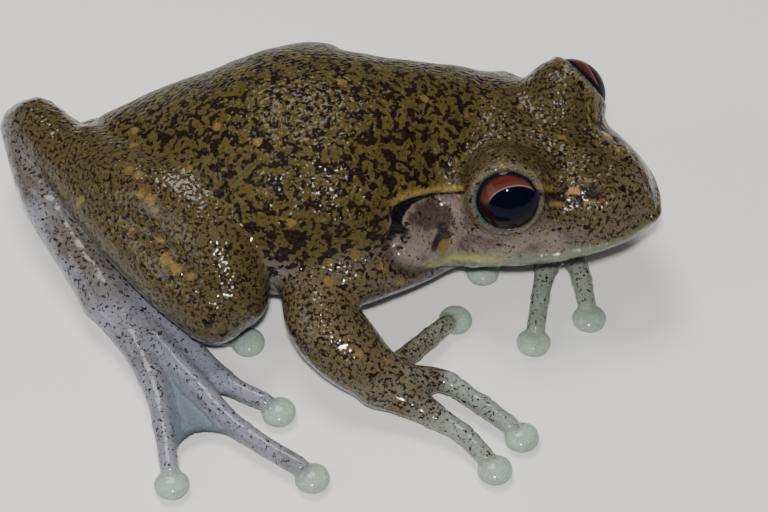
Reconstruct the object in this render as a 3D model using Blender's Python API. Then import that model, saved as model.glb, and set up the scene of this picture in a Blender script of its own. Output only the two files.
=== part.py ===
"""A Goudot's bright-eyed frog at life size, resting on its belly, hands and feet.

Rows of numbers are sizes in millimetres in the frog's own frame: +X runs forward along the body,
+Y to its left and +Z up, with the floor at z = 0. Each row is one station of a smooth form.
"""
import math

import bmesh
import bpy
import numpy as np
from mathutils import Vector

MM = 0.001
GAP = 0.3                 # clear space between two touching pieces
WEB_THICKNESS = 0.7

# Torso stations: x, y and z of the middle, half width, height above it, depth below it
TORSO_ROWS = [
    (-46.5, -7.4, 8.0, 2.0, 2.0, 2.2),
    (-43.0, -7.2, 8.4, 6.0, 5.6, 5.2),
    (-36.5, -6.8, 9.0, 10.2, 9.2, 7.4),
    (-30.0, -6.5, 9.6, 13.4, 12.3, 9.0),
    (-25.0, -6.5, 10.2, 15.8, 14.3, 10.4),
    (-20.0, -6.3, 10.8, 17.8, 15.7, 11.4),
    (-14.0, -5.8, 11.4, 19.2, 16.0, 12.0),
    (-8.0, -4.6, 11.8, 18.2, 15.8, 10.9),
    (-3.0, -2.6, 12.2, 15.5, 14.6, 9.4),
    (2.0, -0.5, 12.8, 12.8, 12.8, 8.4),
    (6.0, 0.8, 13.2, 11.2, 11.0, 7.2),
    (10.0, 1.5, 13.4, 9.6, 8.4, 5.4),
]
TORSO_SIDES = 26
TORSO_STATIONS = 22

# The head's own frame stands on the mouth line below the point between the eyes
HEAD_PLACE = (20.3, -2.6, 10.6)
HEAD_TURN = -16.0         # degrees, towards the right side
HEAD_LIFT = 13.0          # degrees, snout up
NECK_U = -15.5            # where the head meets the torso, along the head's axis
# Head stations: distance forward, half width at the lip, height above it, depth of the jaw
HEAD_ROWS = [
    (-20, 13.4, 12.8, 5.6),
    (-15, 15.0, 13.4, 6.0),
    (-10, 15.4, 13.4, 5.8),
    (-5, 14.9, 12.8, 5.4),
    (0, 13.6, 11.5, 4.8),
    (5, 11.5, 10.0, 4.0),
    (9, 9.1, 8.6, 3.2),
    (12, 6.7, 7.2, 2.5),
    (14.2, 3.8, 5.2, 1.7),
    (15.3, 1.2, 3.2, 1.0),
]
HEAD_SIDES = 24
HEAD_STATIONS = 18
JAW_INSET = 0.45          # the lower lip sits this far inside the upper one
LIP_RADIUS = 0.55

EYE_RADIUS = 4.9
EYE_PLACE = (-0.3, 9.8, 9.5)
EYE_AXIS = (0.48, 0.80, 0.34)
EYE_BULGE_RADIUS = 5.7
EYE_BULGE_BACK = 0.95     # the bulge's centre lies this far behind the eye's
LID_RING_RADIUS = 4.35
LID_RADIUS = 0.62
LID_OUT = 2.15

NOSTRIL_U = 9.6
NOSTRIL_ANGLE = 62        # degrees round the section from the lip
NOSTRIL_RADIUS = 0.55
TYMPANUM_U = -8.6
TYMPANUM_ANGLE = 29
TYMPANUM_RADIUS = 1.9
# Fold from the eye over the eardrum: distance forward, angle round the section
FOLD_ROWS = [(-5.2, 45), (-9.4, 38), (-13.8, 30), (-16.2, 25)]
FOLD_RADIUS = 0.75

# Limb stations: x, y, z, half width, half height
LIMB_ROWS = {
    "right_thigh": [
        (-42, -9.5, 10.5, 6, 6), (-34, -14.8, 12.3, 7.2, 7.0), (-24.8, -19, 13.6, 7.2, 7.0),
        (-20.2, -23.6, 12.4, 6.2, 6.0), (-18.6, -27.0, 10, 5.2, 5.2)],
    "right_shank": [
        (-20.3, -29.0, 9.0, 4.9, 4.9), (-26, -25, 10.3, 5.6, 5.5), (-32.5, -19.8, 11, 5.7, 5.6),
        (-39, -14.2, 11, 5.3, 5.2), (-45.5, -8.5, 11, 4.6, 4.6), (-51.5, -3.8, 10.5, 4.2, 4.2)],
    "right_tarsus": [
        (-53, -3.2, 9.5, 3.8, 3.8), (-48.5, -12, 7.5, 3.4, 3.2), (-42, -19.5, 5.5, 3.3, 3.0),
        (-35.8, -25.6, 4.0, 3.9, 3.0)],
    "right_upper_arm": [
        (8, -9.4, 8.2, 4.4, 4.4), (3, -16.0, 9.3, 4.0, 4.0), (-2, -20.8, 10.2, 3.8, 3.8),
        (-7.5, -23.4, 9.8, 4.1, 4.1)],
    "right_forearm": [
        (-8, -24.2, 9.3, 4.3, 4.3), (-6, -27.5, 8, 4.9, 4.7), (-1.6, -30.8, 6, 4.7, 4.3),
        (3, -32.8, 4, 3.7, 2.9)],
    "left_thigh": [
        (-40, -4, 8.5, 5.2, 5.2), (-30, 0.4, 9, 6.5, 6), (-18, 7, 8.8, 6, 5.5),
        (-9.5, 12, 7, 4.6, 4.6)],
    "left_shank": [
        (-8, 13.4, 6.3, 4.5, 4.5), (-17, 11.6, 6.4, 5.2, 5.1), (-28, 7.6, 6, 5.0, 4.8),
        (-37, 2.5, 5.4, 4.2, 4.2), (-45, -1, 4.9, 3.8, 3.8)],
    "left_tarsus": [
        (-46, -0.2, 3.8, 3.2, 3.2), (-40, 4.6, 3.2, 2.8, 2.7), (-32, 10.2, 2.9, 2.8, 2.6),
        (-24, 14, 2.8, 3.4, 2.4)],
    "left_upper_arm": [
        (1, 8, 9.2, 4.4, 4.4), (6, 13, 7.8, 3.9, 3.9), (10.2, 15.4, 6.6, 3.8, 3.8)],
    "left_forearm": [
        (10.8, 15.2, 6.2, 3.9, 3.9), (14, 11, 5.2, 4.1, 3.8), (18, 5.5, 3.7, 3.7, 2.9),
        (21, 0.8, 2.9, 3.1, 2.3)],
}
LIMB_SIDES = 12
LIMB_STATIONS = 9
# What each limb piece is cut clear of, nearest neighbour first
LIMB_NEIGHBOURS = {
    "right_thigh": ["torso"],
    "right_shank": ["right_thigh", "torso"],
    "right_tarsus": ["right_shank", "right_thigh", "torso"],
    "right_upper_arm": ["torso", "head"],
    "right_forearm": ["right_upper_arm", "torso"],
    "left_thigh": ["torso"],
    "left_shank": ["left_thigh", "torso"],
    "left_tarsus": ["left_shank", "left_thigh", "torso", "right_shank"],
    "left_upper_arm": ["torso", "head"],
    "left_forearm": ["left_upper_arm", "torso", "head"],
}

# Digits of each hand and foot, outermost last on the hands and first on the feet
DIGIT_ROWS = {
    "right_hand": [
        [(2.6, -31.6, 3.3, 2.6, 2.2), (0.2, -29.2, 2.4, 1.4, 1.2), (-1.7, -27.2, 1.9, 1.25, 1.1)],
        [(2.8, -31.8, 3.3, 2.8, 2.3), (5.0, -27.5, 2.5, 1.5, 1.3), (7.5, -23.3, 2.1, 1.3, 1.2),
         (9.4, -20.2, 1.9, 1.25, 1.1)],
        [(2.6, -32.8, 3.4, 3.2, 2.4), (6.5, -31.8, 3.2, 2.6, 2.0), (10.5, -30.4, 2.6, 1.6, 1.4),
         (15.1, -32.3, 2.2, 1.3, 1.2), (20.6, -35.4, 1.9, 1.25, 1.1)],
        [(2.6, -33.2, 3.4, 3.2, 2.4), (7.0, -34.6, 3.0, 2.5, 1.9), (10.5, -36.0, 2.4, 1.7, 1.4),
         (14.7, -38.0, 2.1, 1.3, 1.2), (18.2, -40.9, 1.9, 1.25, 1.1)],
    ],
    "left_hand": [
        [(21, 0.8, 3.0, 3.0, 2.2), (16.5, 0.0, 2.7, 1.8, 1.5), (12.5, -1.8, 2.2, 1.3, 1.2),
         (10.6, -2.6, 1.9, 1.25, 1.1)],
        [(21, 0.8, 3.0, 3.0, 2.2), (18.6, -2.8, 2.8, 1.8, 1.5), (15.6, -6, 2.2, 1.3, 1.2),
         (13.6, -8.4, 1.9, 1.25, 1.1)],
        [(21, 0.8, 3.0, 3.0, 2.2), (21.2, -4, 2.9, 2.4, 1.8), (21.0, -10, 2.4, 1.4, 1.3),
         (21.2, -18.8, 1.9, 1.25, 1.1)],
        [(21, 0.8, 3.0, 3.0, 2.2), (23, -3.6, 2.9, 2.2, 1.8), (25.5, -8, 2.4, 1.4, 1.3),
         (27.4, -13.4, 1.9, 1.25, 1.1)],
    ],
    "right_foot": [
        [(-36, -25.8, 3.8, 3.6, 2.6), (-30.8, -32.0, 3.0, 2.2, 1.8), (-27.0, -37.4, 2.4, 1.6, 1.4),
         (-23.6, -44.5, 2.1, 1.3, 1.2), (-21.3, -50.5, 1.9, 1.25, 1.1)],
        [(-36, -25.5, 3.8, 3.2, 2.6), (-29.5, -29.8, 3.2, 1.9, 1.7), (-22.2, -36.0, 2.5, 1.5, 1.4),
         (-14.0, -42.6, 2.1, 1.3, 1.2), (-4.8, -47.0, 1.9, 1.25, 1.1)],
        [(-35, -24.5, 3.8, 2.6, 2.4), (-29, -27.0, 3.2, 1.7, 1.6), (-21.7, -32.4, 2.4, 1.4, 1.3),
         (-15.4, -36.6, 2.1, 1.3, 1.2), (-11.4, -37.8, 1.9, 1.25, 1.1)],
        [(-35, -24.5, 3.8, 2.6, 2.4), (-28, -26.2, 2.8, 1.5, 1.4), (-22, -28.5, 2.2, 1.3, 1.2),
         (-18, -28.0, 1.9, 1.25, 1.1)],
        [(-35, -24.0, 3.6, 2.4, 2.2), (-30, -23.6, 2.6, 1.5, 1.4), (-25.5, -22.3, 1.9, 1.25, 1.1)],
    ],
    "left_foot": [
        [(-24, 15.4, 2.8, 3.0, 2.2), (-18, 18.0, 2.6, 2.0, 1.6), (-11, 20.4, 2.2, 1.4, 1.3),
         (-4.0, 21.5, 2.0, 1.3, 1.2), (2.6, 22.0, 1.9, 1.25, 1.1)],
        [(-24, 15.2, 2.8, 3.0, 2.2), (-16, 16.6, 2.8, 1.9, 1.7), (-7, 17.8, 2.4, 1.5, 1.4),
         (4, 18.5, 2.1, 1.3, 1.2), (13.4, 20.6, 1.9, 1.25, 1.1)],
        [(-24, 14.8, 2.8, 3.0, 2.2), (-16, 14.6, 2.6, 1.7, 1.6), (-8, 14.4, 2.2, 1.4, 1.3),
         (0.6, 14.2, 1.9, 1.25, 1.1)],
        [(-24, 14.6, 2.8, 3.0, 2.2), (-17, 12.6, 2.4, 1.5, 1.4), (-11, 10.9, 2.0, 1.3, 1.2),
         (-7.2, 10.0, 1.9, 1.25, 1.1)],
        [(-24, 14.4, 2.8, 2.8, 2.2), (-19.5, 10.6, 2.3, 1.4, 1.3), (-16.0, 7.6, 1.9, 1.25, 1.1)],
    ],
}
DIGIT_SIDES = 7
DIGIT_STATIONS = 7
DISC_RADIUS = 2.3
DISC_REACH = 1.7          # disc centre, ahead of the digit's last station
DISC_MIDDLE = 1.0
DISC_HALF_HEIGHT = 1.25
# Webs: the two digits, then how far along each the web reaches and how deep its edge is cut in
WEB_ROWS = {
    "right_hand": [(1, 2, 0.36, 0.30, 0.45), (2, 3, 0.42, 0.42, 0.4)],
    "left_hand": [(1, 2, 0.42, 0.36, 0.45), (2, 3, 0.38, 0.44, 0.4)],
    "right_foot": [(0, 1, 0.9, 0.77, 0.1), (1, 2, 0.66, 0.9, 0.14), (2, 3, 0.72, 0.84, 0.3),
                   (3, 4, 0.6, 0.8, 0.3)],
    "left_foot": [(0, 1, 0.9, 0.72, 0.1), (1, 2, 0.6, 0.88, 0.14), (2, 3, 0.62, 0.84, 0.3),
                  (3, 4, 0.6, 0.8, 0.3)],
}
EXTREMITY_NEIGHBOURS = {
    "right_hand": ["right_forearm", "right_upper_arm", "torso"],
    "left_hand": ["left_forearm", "left_upper_arm", "torso", "head"],
    "right_foot": ["right_tarsus", "right_shank", "right_thigh", "torso"],
    "left_foot": ["left_tarsus", "left_shank", "left_thigh", "left_forearm", "left_upper_arm", "torso"],
}

COLOURS = {
    "torso": (0.20, 0.15, 0.07),
    "head": (0.21, 0.16, 0.08),
    "lower_jaw": (0.45, 0.46, 0.36),
    "eye": (0.02, 0.02, 0.05),
    "thigh": (0.17, 0.12, 0.06),
    "shank": (0.19, 0.14, 0.07),
    "tarsus": (0.28, 0.25, 0.22),
    "arm": (0.22, 0.17, 0.10),
    "hand": (0.36, 0.38, 0.34),
    "foot": (0.34, 0.36, 0.35),
}


def clear_scene():
    for thing in list(bpy.data.objects):
        bpy.data.objects.remove(thing, do_unlink=True)


def smooth_rows(rows, count):
    """Rows read from a smooth curve through the given ones, evenly spaced along it."""
    rows = np.asarray(rows, float)
    at = np.concatenate([[0], np.cumsum(np.linalg.norm(np.diff(rows[:, :3], axis=0), axis=1))])
    slope = np.gradient(rows, at, axis=0)
    where = np.linspace(0, at[-1], count)
    i = np.clip(np.searchsorted(at, where, side="right") - 1, 0, len(at) - 2)
    span = (at[i + 1] - at[i])[:, None]
    t = (where - at[i])[:, None] / span
    return ((1 + 2 * t) * (1 - t) ** 2 * rows[i] + t * (1 - t) ** 2 * span * slope[i]
            + t * t * (3 - 2 * t) * rows[i + 1] + t * t * (t - 1) * span * slope[i + 1])


def path_frames(centres):
    """Along, sideways and upward directions at each point of a path."""
    along = np.gradient(centres, axis=0)
    along /= np.linalg.norm(along, axis=1, keepdims=True)
    side = np.cross((0, 0, 1), along)
    side /= np.linalg.norm(side, axis=1, keepdims=True)
    return along, side, np.cross(along, side)


def section(angles, half_width, top, bottom):
    """An oval section that is higher above its middle than below it, or the other way round."""
    rise = np.sin(angles)
    return np.cos(angles) * half_width, rise * np.where(rise >= 0, top, bottom)


def new_object(name, mesh):
    thing = bpy.data.objects.new(name, mesh)
    bpy.context.scene.collection.objects.link(thing)
    return thing


def ring_solid(name, rings, first, last):
    """A closed skin over a run of equal rings, pointed at both ends."""
    rings = np.asarray(rings)
    stations, sides, _ = rings.shape
    points = np.concatenate([rings.reshape(-1, 3), [first, last]]) * MM
    faces = []
    for i in range(stations - 1):
        for j in range(sides):
            a = i * sides + j
            b = i * sides + (j + 1) % sides
            faces.append((a, b, b + sides, a + sides))
    for j in range(sides):
        faces.append((stations * sides, (j + 1) % sides, j))
        k = (stations - 1) * sides
        faces.append((stations * sides + 1, k + j, k + (j + 1) % sides))
    mesh = bpy.data.meshes.new(name)
    mesh.from_pydata(points.tolist(), [], faces)
    turn_outwards(mesh)
    return new_object(name, mesh)


def turn_outwards(mesh):
    bm = bmesh.new()
    bm.from_mesh(mesh)
    bmesh.ops.recalc_face_normals(bm, faces=bm.faces)
    bm.to_mesh(mesh)
    bm.free()


def limb_solid(name, rows, sides, stations, cap=1.0):
    """A tube of changing oval section along a smooth path, with rounded ends."""
    rows = smooth_rows(rows, stations)
    centres, wide, high = rows[:, :3], rows[:, 3], rows[:, 4]
    along, side, up = path_frames(centres)
    angles = np.linspace(0, 2 * math.pi, sides, endpoint=False)

    def ring(i, push, shrink):
        centre = centres[i] + along[i] * push
        return (centre + np.outer(np.cos(angles) * wide[i] * shrink, side[i])
                + np.outer(np.sin(angles) * high[i] * shrink, up[i]))

    reach = cap * (wide + high) / 2
    rings = [ring(0, -reach[0] * a, math.sqrt(1 - a * a)) for a in (0.85, 0.5)]
    rings += [ring(i, 0, 1) for i in range(stations)]
    rings += [ring(-1, reach[-1] * a, math.sqrt(1 - a * a)) for a in (0.5, 0.85)]
    return ring_solid(name, rings, centres[0] - along[0] * reach[0], centres[-1] + along[-1] * reach[-1])


def ball_solid(name, centre, radii, sides=16, stations=9):
    """A ball or a flattened ball."""
    tilt = np.linspace(-math.pi / 2, math.pi / 2, stations + 2)[1:-1]
    turn = np.linspace(0, 2 * math.pi, sides, endpoint=False)
    radii = np.broadcast_to(radii, 3)
    centre = np.asarray(centre, float)
    rings = [centre + radii * np.stack([math.cos(a) * np.cos(turn), math.cos(a) * np.sin(turn),
                                        np.full(sides, math.sin(a))], axis=1) for a in tilt]
    return ring_solid(name, rings, centre - (0, 0, radii[2]), centre + (0, 0, radii[2]))


def ring_tube(name, centre, axis, ring_radius, tube_radius, turns=24, sides=8):
    """A ring of round section about an axis."""
    axis = np.asarray(axis, float) / np.linalg.norm(axis)
    across = np.cross(axis, (0, 0, 1))
    across /= np.linalg.norm(across)
    over = np.cross(axis, across)
    points, faces = [], []
    for i in range(turns):
        a = 2 * math.pi * i / turns
        out = math.cos(a) * across + math.sin(a) * over
        for j in range(sides):
            b = 2 * math.pi * j / sides
            points.append(centre + out * (ring_radius + tube_radius * math.cos(b))
                          + axis * tube_radius * math.sin(b))
            j2, i2 = (j + 1) % sides, (i + 1) % turns
            faces.append((i * sides + j, i * sides + j2, i2 * sides + j2, i2 * sides + j))
    mesh = bpy.data.meshes.new(name)
    mesh.from_pydata((np.array(points) * MM).tolist(), [], faces)
    turn_outwards(mesh)
    return new_object(name, mesh)


def settle(thing):
    """Applies what its modifiers do, and welds and splits the result into triangles."""
    graph = bpy.context.evaluated_depsgraph_get()
    mesh = bpy.data.meshes.new_from_object(thing.evaluated_get(graph))
    thing.modifiers.clear()
    thing.data = mesh
    bm = bmesh.new()
    bm.from_mesh(mesh)
    bmesh.ops.remove_doubles(bm, verts=bm.verts, dist=2e-6)
    bmesh.ops.dissolve_degenerate(bm, edges=bm.edges, dist=2e-6)
    bmesh.ops.triangulate(bm, faces=bm.faces)
    keep_largest(bm)
    bm.to_mesh(mesh)
    bm.free()


def is_closed(mesh):
    """Whether every edge joins two faces and something is left."""
    bm = bmesh.new()
    bm.from_mesh(mesh)
    closed = len(bm.faces) > 3 and all(len(edge.link_faces) == 2 for edge in bm.edges)
    bm.free()
    return closed


def keep_largest(bm):
    """Deletes every surface but the one that spans the most."""
    left = set(bm.verts)
    groups = []
    while left:
        stack = [left.pop()]
        group = set(stack)
        while stack:
            for edge in stack.pop().link_edges:
                for vert in edge.verts:
                    if vert in left:
                        left.remove(vert)
                        group.add(vert)
                        stack.append(vert)
        groups.append(group)

    def spread(group):
        places = np.array([v.co[:] for v in group])
        return float(np.linalg.norm(places.max(axis=0) - places.min(axis=0)))

    groups.sort(key=spread)
    loose = [vert for group in groups[:-1] for vert in group]
    bmesh.ops.delete(bm, geom=loose, context="VERTS")


def fuse(name, things):
    """One closed body from several that run into one another."""
    group = bpy.data.collections.new(name + "_pieces")
    bpy.context.scene.collection.children.link(group)
    base = things[0]
    for thing in things[1:]:
        bpy.context.scene.collection.objects.unlink(thing)
        group.objects.link(thing)
    union = base.modifiers.new("fuse", "BOOLEAN")
    union.operation = "UNION"
    union.solver = "MANIFOLD"
    union.operand_type = "COLLECTION"
    union.collection = group
    settle(base)
    for thing in things[1:]:
        bpy.data.objects.remove(thing, do_unlink=True)
    bpy.data.collections.remove(group)
    base.name = name
    return base


def cut_away(thing, tool):
    """Takes the tool's volume out of the thing, and tells whether that left a closed skin."""
    tool.hide_render = True
    tool.display_type = "WIRE"
    before = thing.data.copy()
    for solver in ("EXACT", "MANIFOLD"):
        thing.data = before.copy()
        cut = thing.modifiers.new("cut", "BOOLEAN")
        cut.operation = "DIFFERENCE"
        cut.solver = solver
        cut.object = tool
        settle(thing)
        if is_closed(thing.data):
            bpy.data.objects.remove(tool, do_unlink=True)
            return True
    thing.data = before
    bpy.data.objects.remove(tool, do_unlink=True)
    return False


def plain_form(name, grow):
    """The uncarved form of the torso, the head or a limb piece, thicker all round by some millimetres."""
    if name == "torso":
        return torso_form(name, grow)
    if name == "head":
        return head_form(name, grow + LIP_RADIUS)
    rows = [(*row[:3], row[3] + grow, row[4] + grow) for row in LIMB_ROWS[name]]
    return limb_solid(name, rows, LIMB_SIDES, LIMB_STATIONS)


def cut_clear(thing, neighbours):
    """Leaves the gap between a piece and the plain forms of its neighbours."""
    for neighbour in neighbours:
        for grow in (1.15, 1.3, 1.45):
            if cut_away(thing, plain_form(neighbour, GAP * grow)):
                break


def slice_flat(thing, point, normal):
    """Cuts off what lies ahead of a plane, in millimetres, and closes the cut with a flat face."""
    bm = bmesh.new()
    bm.from_mesh(thing.data)
    geom = bm.verts[:] + bm.edges[:] + bm.faces[:]
    cut = bmesh.ops.bisect_plane(bm, geom=geom, dist=1e-7, plane_co=Vector(point) * MM,
                                 plane_no=Vector(normal), clear_outer=True)
    rim = [e for e in cut["geom_cut"] if isinstance(e, bmesh.types.BMEdge)]
    if rim:
        bmesh.ops.holes_fill(bm, edges=rim, sides=0)
    bmesh.ops.remove_doubles(bm, verts=bm.verts, dist=2e-6)
    bmesh.ops.dissolve_degenerate(bm, edges=bm.edges, dist=2e-6)
    bmesh.ops.triangulate(bm, faces=bm.faces)
    bm.to_mesh(thing.data)
    bm.free()


def head_directions():
    """Forward, left and upward directions of the turned and lifted head."""
    turn, lift = math.radians(HEAD_TURN), math.radians(HEAD_LIFT)
    forward = np.array([math.cos(turn) * math.cos(lift), math.sin(turn) * math.cos(lift), math.sin(lift)])
    left = np.array([-math.sin(turn), math.cos(turn), 0.0])
    return forward, left, np.cross(forward, left)


def head_point(u, v, w):
    forward, left, up = head_directions()
    return np.array(HEAD_PLACE) + u * forward + v * left + w * up


def head_size(u):
    """Half width, height and jaw depth at a distance along the head."""
    rows = np.asarray(HEAD_ROWS, float)
    return [float(np.interp(u, rows[:, 0], rows[:, k])) for k in (1, 2, 3)]


def head_surface(u, angle, side, out=0.0):
    """A point on the upper head at an angle in degrees up from the lip, moved out along its normal."""
    wide, top, _ = head_size(u)
    a = math.radians(angle)
    normal = np.array([0, math.cos(a) / wide, math.sin(a) / top])
    normal /= np.linalg.norm(normal)
    return head_point(u, side * (wide * math.cos(a) + out * normal[1]), top * math.sin(a) + out * normal[2])


def torso_form(name, grow):
    rows = smooth_rows(TORSO_ROWS, TORSO_STATIONS)
    rows[:, 3:] += grow
    ground = rows[:, :3] * (1, 1, 0)
    along, side, _ = path_frames(ground)
    angles = np.linspace(0, 2 * math.pi, TORSO_SIDES, endpoint=False)
    rings = []
    for i, row in enumerate(rows):
        across, up = section(angles, row[3], row[4], row[5])
        rings.append(row[:3] + np.outer(across, side[i]) + np.outer(up, (0, 0, 1)))
    return ring_solid(name, rings, rows[0, :3] - along[0] * (1.2 + grow), rows[-1, :3] + along[-1] * 2.5)


def neck_part(name, side):
    """The torso's form from a little behind the neck's cut forward, above or below the mouth line."""
    forward, _, up = head_directions()
    part = torso_form(name, 0)
    slice_flat(part, head_point(NECK_U - 1.0, 0, 0), -forward)
    slice_flat(part, head_point(0, 0, side * (GAP / 2 + 0.03)), -side * up)
    return part


def make_torso():
    torso = torso_form("torso", 0)
    forward, _, _ = head_directions()
    slice_flat(torso, head_point(NECK_U, 0, 0) - forward * GAP / 2, forward)
    return torso


def head_half(name, upper, inset):
    """The upper head or the lower jaw: a loft with a flat face on the mouth line."""
    rows = np.asarray(HEAD_ROWS, float)
    rows = np.column_stack([rows[:, 0], np.zeros((len(rows), 2)), rows[:, 1:]])
    rows = smooth_rows(rows, HEAD_STATIONS)
    forward, left, up = head_directions()
    half = HEAD_SIDES // 2
    angles = np.linspace(0, math.pi, half + 1)
    edge = GAP / 2 if upper else -GAP / 2
    flat = np.linspace(-1, 1, 5)[1:-1]
    rings = []
    for row in rows:
        wide = row[3] - inset
        across, height = section(angles, max(wide, 0.4), row[4], row[5])
        reach = row[4] if upper else row[5]
        height = edge + (np.abs(height) / row[4]) * (reach if upper else -reach)
        flat_across = flat * abs(across[0])
        across = np.concatenate([across, flat_across])
        height = np.concatenate([height, np.full(len(flat), edge)])
        base = np.array(HEAD_PLACE) + (row[0] - (0 if upper else inset)) * forward
        rings.append(base + np.outer(across, left) + np.outer(height, up))
    tip = rows[-1, 0] + 0.5 - (0 if upper else inset)
    rise = 1.5 if upper else -0.6
    return ring_solid(name, rings, head_point(rows[0, 0] - 0.3, 0, rise), head_point(tip, 0, rise))


def lip_tube():
    """A thin rounded rim along the edge of the upper lip, round the snout."""
    stations = np.linspace(-14.5, 15.0, 16)
    right = [head_point(u, -head_size(u)[0], GAP / 2 + LIP_RADIUS) for u in stations]
    left = [head_point(u, head_size(u)[0], GAP / 2 + LIP_RADIUS) for u in stations[::-1]]
    centres = right + [head_point(15.7, 0, GAP / 2 + LIP_RADIUS)] + left
    rows = [(*c, LIP_RADIUS, LIP_RADIUS) for c in centres]
    return limb_solid("lip", rows, 5, 30)


def make_head():
    pieces = [head_half("head", True, 0.0), lip_tube(), neck_part("nape", 1)]
    forward, left, up = head_directions()
    for side in (-1, 1):
        eye, axis = eye_place(side)
        pieces.append(ball_solid("bulge", eye - axis * EYE_BULGE_BACK, EYE_BULGE_RADIUS, 16, 9))
        pieces.append(ring_tube("lid", eye + axis * LID_OUT, axis, LID_RING_RADIUS, LID_RADIUS, 20, 6))
        pieces.append(ball_solid("nostril", head_surface(NOSTRIL_U, NOSTRIL_ANGLE, side, -0.4), 1.15, 8, 4))
        fold = [(*head_surface(u, a, side, -0.15), FOLD_RADIUS, FOLD_RADIUS) for u, a in FOLD_ROWS]
        pieces.append(limb_solid("fold", fold, 6, 7))
        drum = head_surface(TYMPANUM_U, TYMPANUM_ANGLE, side, -0.1)
        outward = drum - head_surface(TYMPANUM_U, TYMPANUM_ANGLE, side, -2.0)
        pieces.append(ring_tube("drum", drum, outward, TYMPANUM_RADIUS, 0.38, 12, 4))
    head = fuse("head", pieces)
    for side in (-1, 1):
        eye, _ = eye_place(side)
        cut_away(head, ball_solid("socket", eye, EYE_RADIUS + GAP, 18, 9))
        nostril = head_surface(NOSTRIL_U, NOSTRIL_ANGLE, side, 0.75)
        cut_away(head, ball_solid("pit", nostril, NOSTRIL_RADIUS, 6, 3))
    slice_flat(head, head_point(NECK_U, 0, 0) + forward * GAP / 2, -forward)
    return head


def make_jaw():
    jaw = fuse("lower_jaw", [head_half("lower_jaw", False, JAW_INSET), neck_part("throat", -1)])
    forward, _, _ = head_directions()
    slice_flat(jaw, head_point(NECK_U, 0, 0) + forward * GAP / 2, -forward)
    return jaw


def head_form(name, grow):
    """The plain form of the whole head, jaw and all."""
    rows = smooth_rows([(u, 0, 0, *size) for u, *size in HEAD_ROWS], HEAD_STATIONS)
    rows[:, 3:] += grow
    forward, left, up = head_directions()
    angles = np.linspace(0, 2 * math.pi, HEAD_SIDES, endpoint=False)
    rings = []
    for row in rows:
        across, height = section(angles, row[3], row[4], row[5])
        rings.append(head_point(row[0], 0, 0) + np.outer(across, left) + np.outer(height, up))
    back = head_point(rows[0, 0] - 0.5, 0, 3)
    return ring_solid(name, rings, back, head_point(rows[-1, 0] + 0.5 + grow, 0, 1))


def eye_place(side):
    """Centre of an eye and the way it looks; side is 1 on the left and -1 on the right."""
    forward, left, up = head_directions()
    u, v, w = EYE_PLACE
    a, b, c = EYE_AXIS
    axis = a * forward + side * b * left + c * up
    return head_point(u, side * v, w), axis / np.linalg.norm(axis)


def web_solid(name, first, second, reach_first, reach_second, notch):
    """A thin sheet between two digits, whose free edge curves in, split alike above and below."""
    steps, strips = 4, 3
    rows_a = smooth_rows(first, 25)
    rows_b = smooth_rows(second, 25)
    across = np.linspace(0, 1, strips + 1)
    upper = []
    for i in range(steps + 1):
        for s in across:
            t = (0.06 + 0.94 * i / steps) * (1 - notch * 4 * s * (1 - s))
            ia, ib = t * reach_first * 24, t * reach_second * 24
            a = [np.interp(ia, range(25), rows_a[:, k]) for k in range(3)]
            b = [np.interp(ib, range(25), rows_b[:, k]) for k in range(3)]
            point = np.array(a) * (1 - s) + np.array(b) * s
            point[2] = max(point[2] - 0.45, 0.7)
            upper.append(point + (0, 0, WEB_THICKNESS / 2))
    upper = np.array(upper)
    lower = upper - (0, 0, WEB_THICKNESS)
    count, wide = len(upper), strips + 1
    faces = []
    for i in range(steps):
        for j in range(strips):
            a, b = i * wide + j, i * wide + j + 1
            c, d = b + wide, a + wide
            for tri in ((a, b, c), (a, c, d)):
                faces.append(tri)
                faces.append(tuple(count + k for k in reversed(tri)))
    rim = ([j for j in range(wide)] + [i * wide + wide - 1 for i in range(1, steps + 1)]
           + [steps * wide + j for j in range(wide - 2, -1, -1)] + [i * wide for i in range(steps - 1, 0, -1)])
    for a, b in zip(rim, rim[1:] + rim[:1]):
        faces.append((b, a, count + a))
        faces.append((b, count + a, count + b))
    mesh = bpy.data.meshes.new(name)
    mesh.from_pydata((np.concatenate([upper, lower]) * MM).tolist(), [], faces)
    turn_outwards(mesh)
    return new_object(name, mesh)


def make_extremity(name):
    """A hand or a foot: its digits, their discs and the webs between them, fused."""
    pieces = []
    digits = DIGIT_ROWS[name]
    for rows in digits:
        pieces.append(limb_solid(name, rows, DIGIT_SIDES, DIGIT_STATIONS))
        tip, before = np.array(rows[-1][:2]), np.array(rows[-2][:2])
        centre = tip + (tip - before) / np.linalg.norm(tip - before) * DISC_REACH
        radii = (DISC_RADIUS, DISC_RADIUS, DISC_HALF_HEIGHT)
        pieces.append(ball_solid("disc", (*centre, DISC_MIDDLE), radii, 12, 4))
    for a, b, reach_a, reach_b, notch in WEB_ROWS[name]:
        pieces.append(web_solid("web", digits[a], digits[b], reach_a, reach_b, notch))
    return fuse(name, pieces)


def finish_on_floor(things):
    """Presses each underside flat at the floor and moves the model so that it stands over the origin."""
    for thing in things:
        slice_flat(thing, (0, 0, 0), (0, 0, -1))
    corners = np.array([v.co[:] for thing in things for v in thing.data.vertices])
    low, high = corners.min(axis=0), corners.max(axis=0)
    shift = Vector(((low[0] + high[0]) / 2, (low[1] + high[1]) / 2, low[2]))
    for thing in things:
        for vert in thing.data.vertices:
            vert.co -= shift


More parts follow.
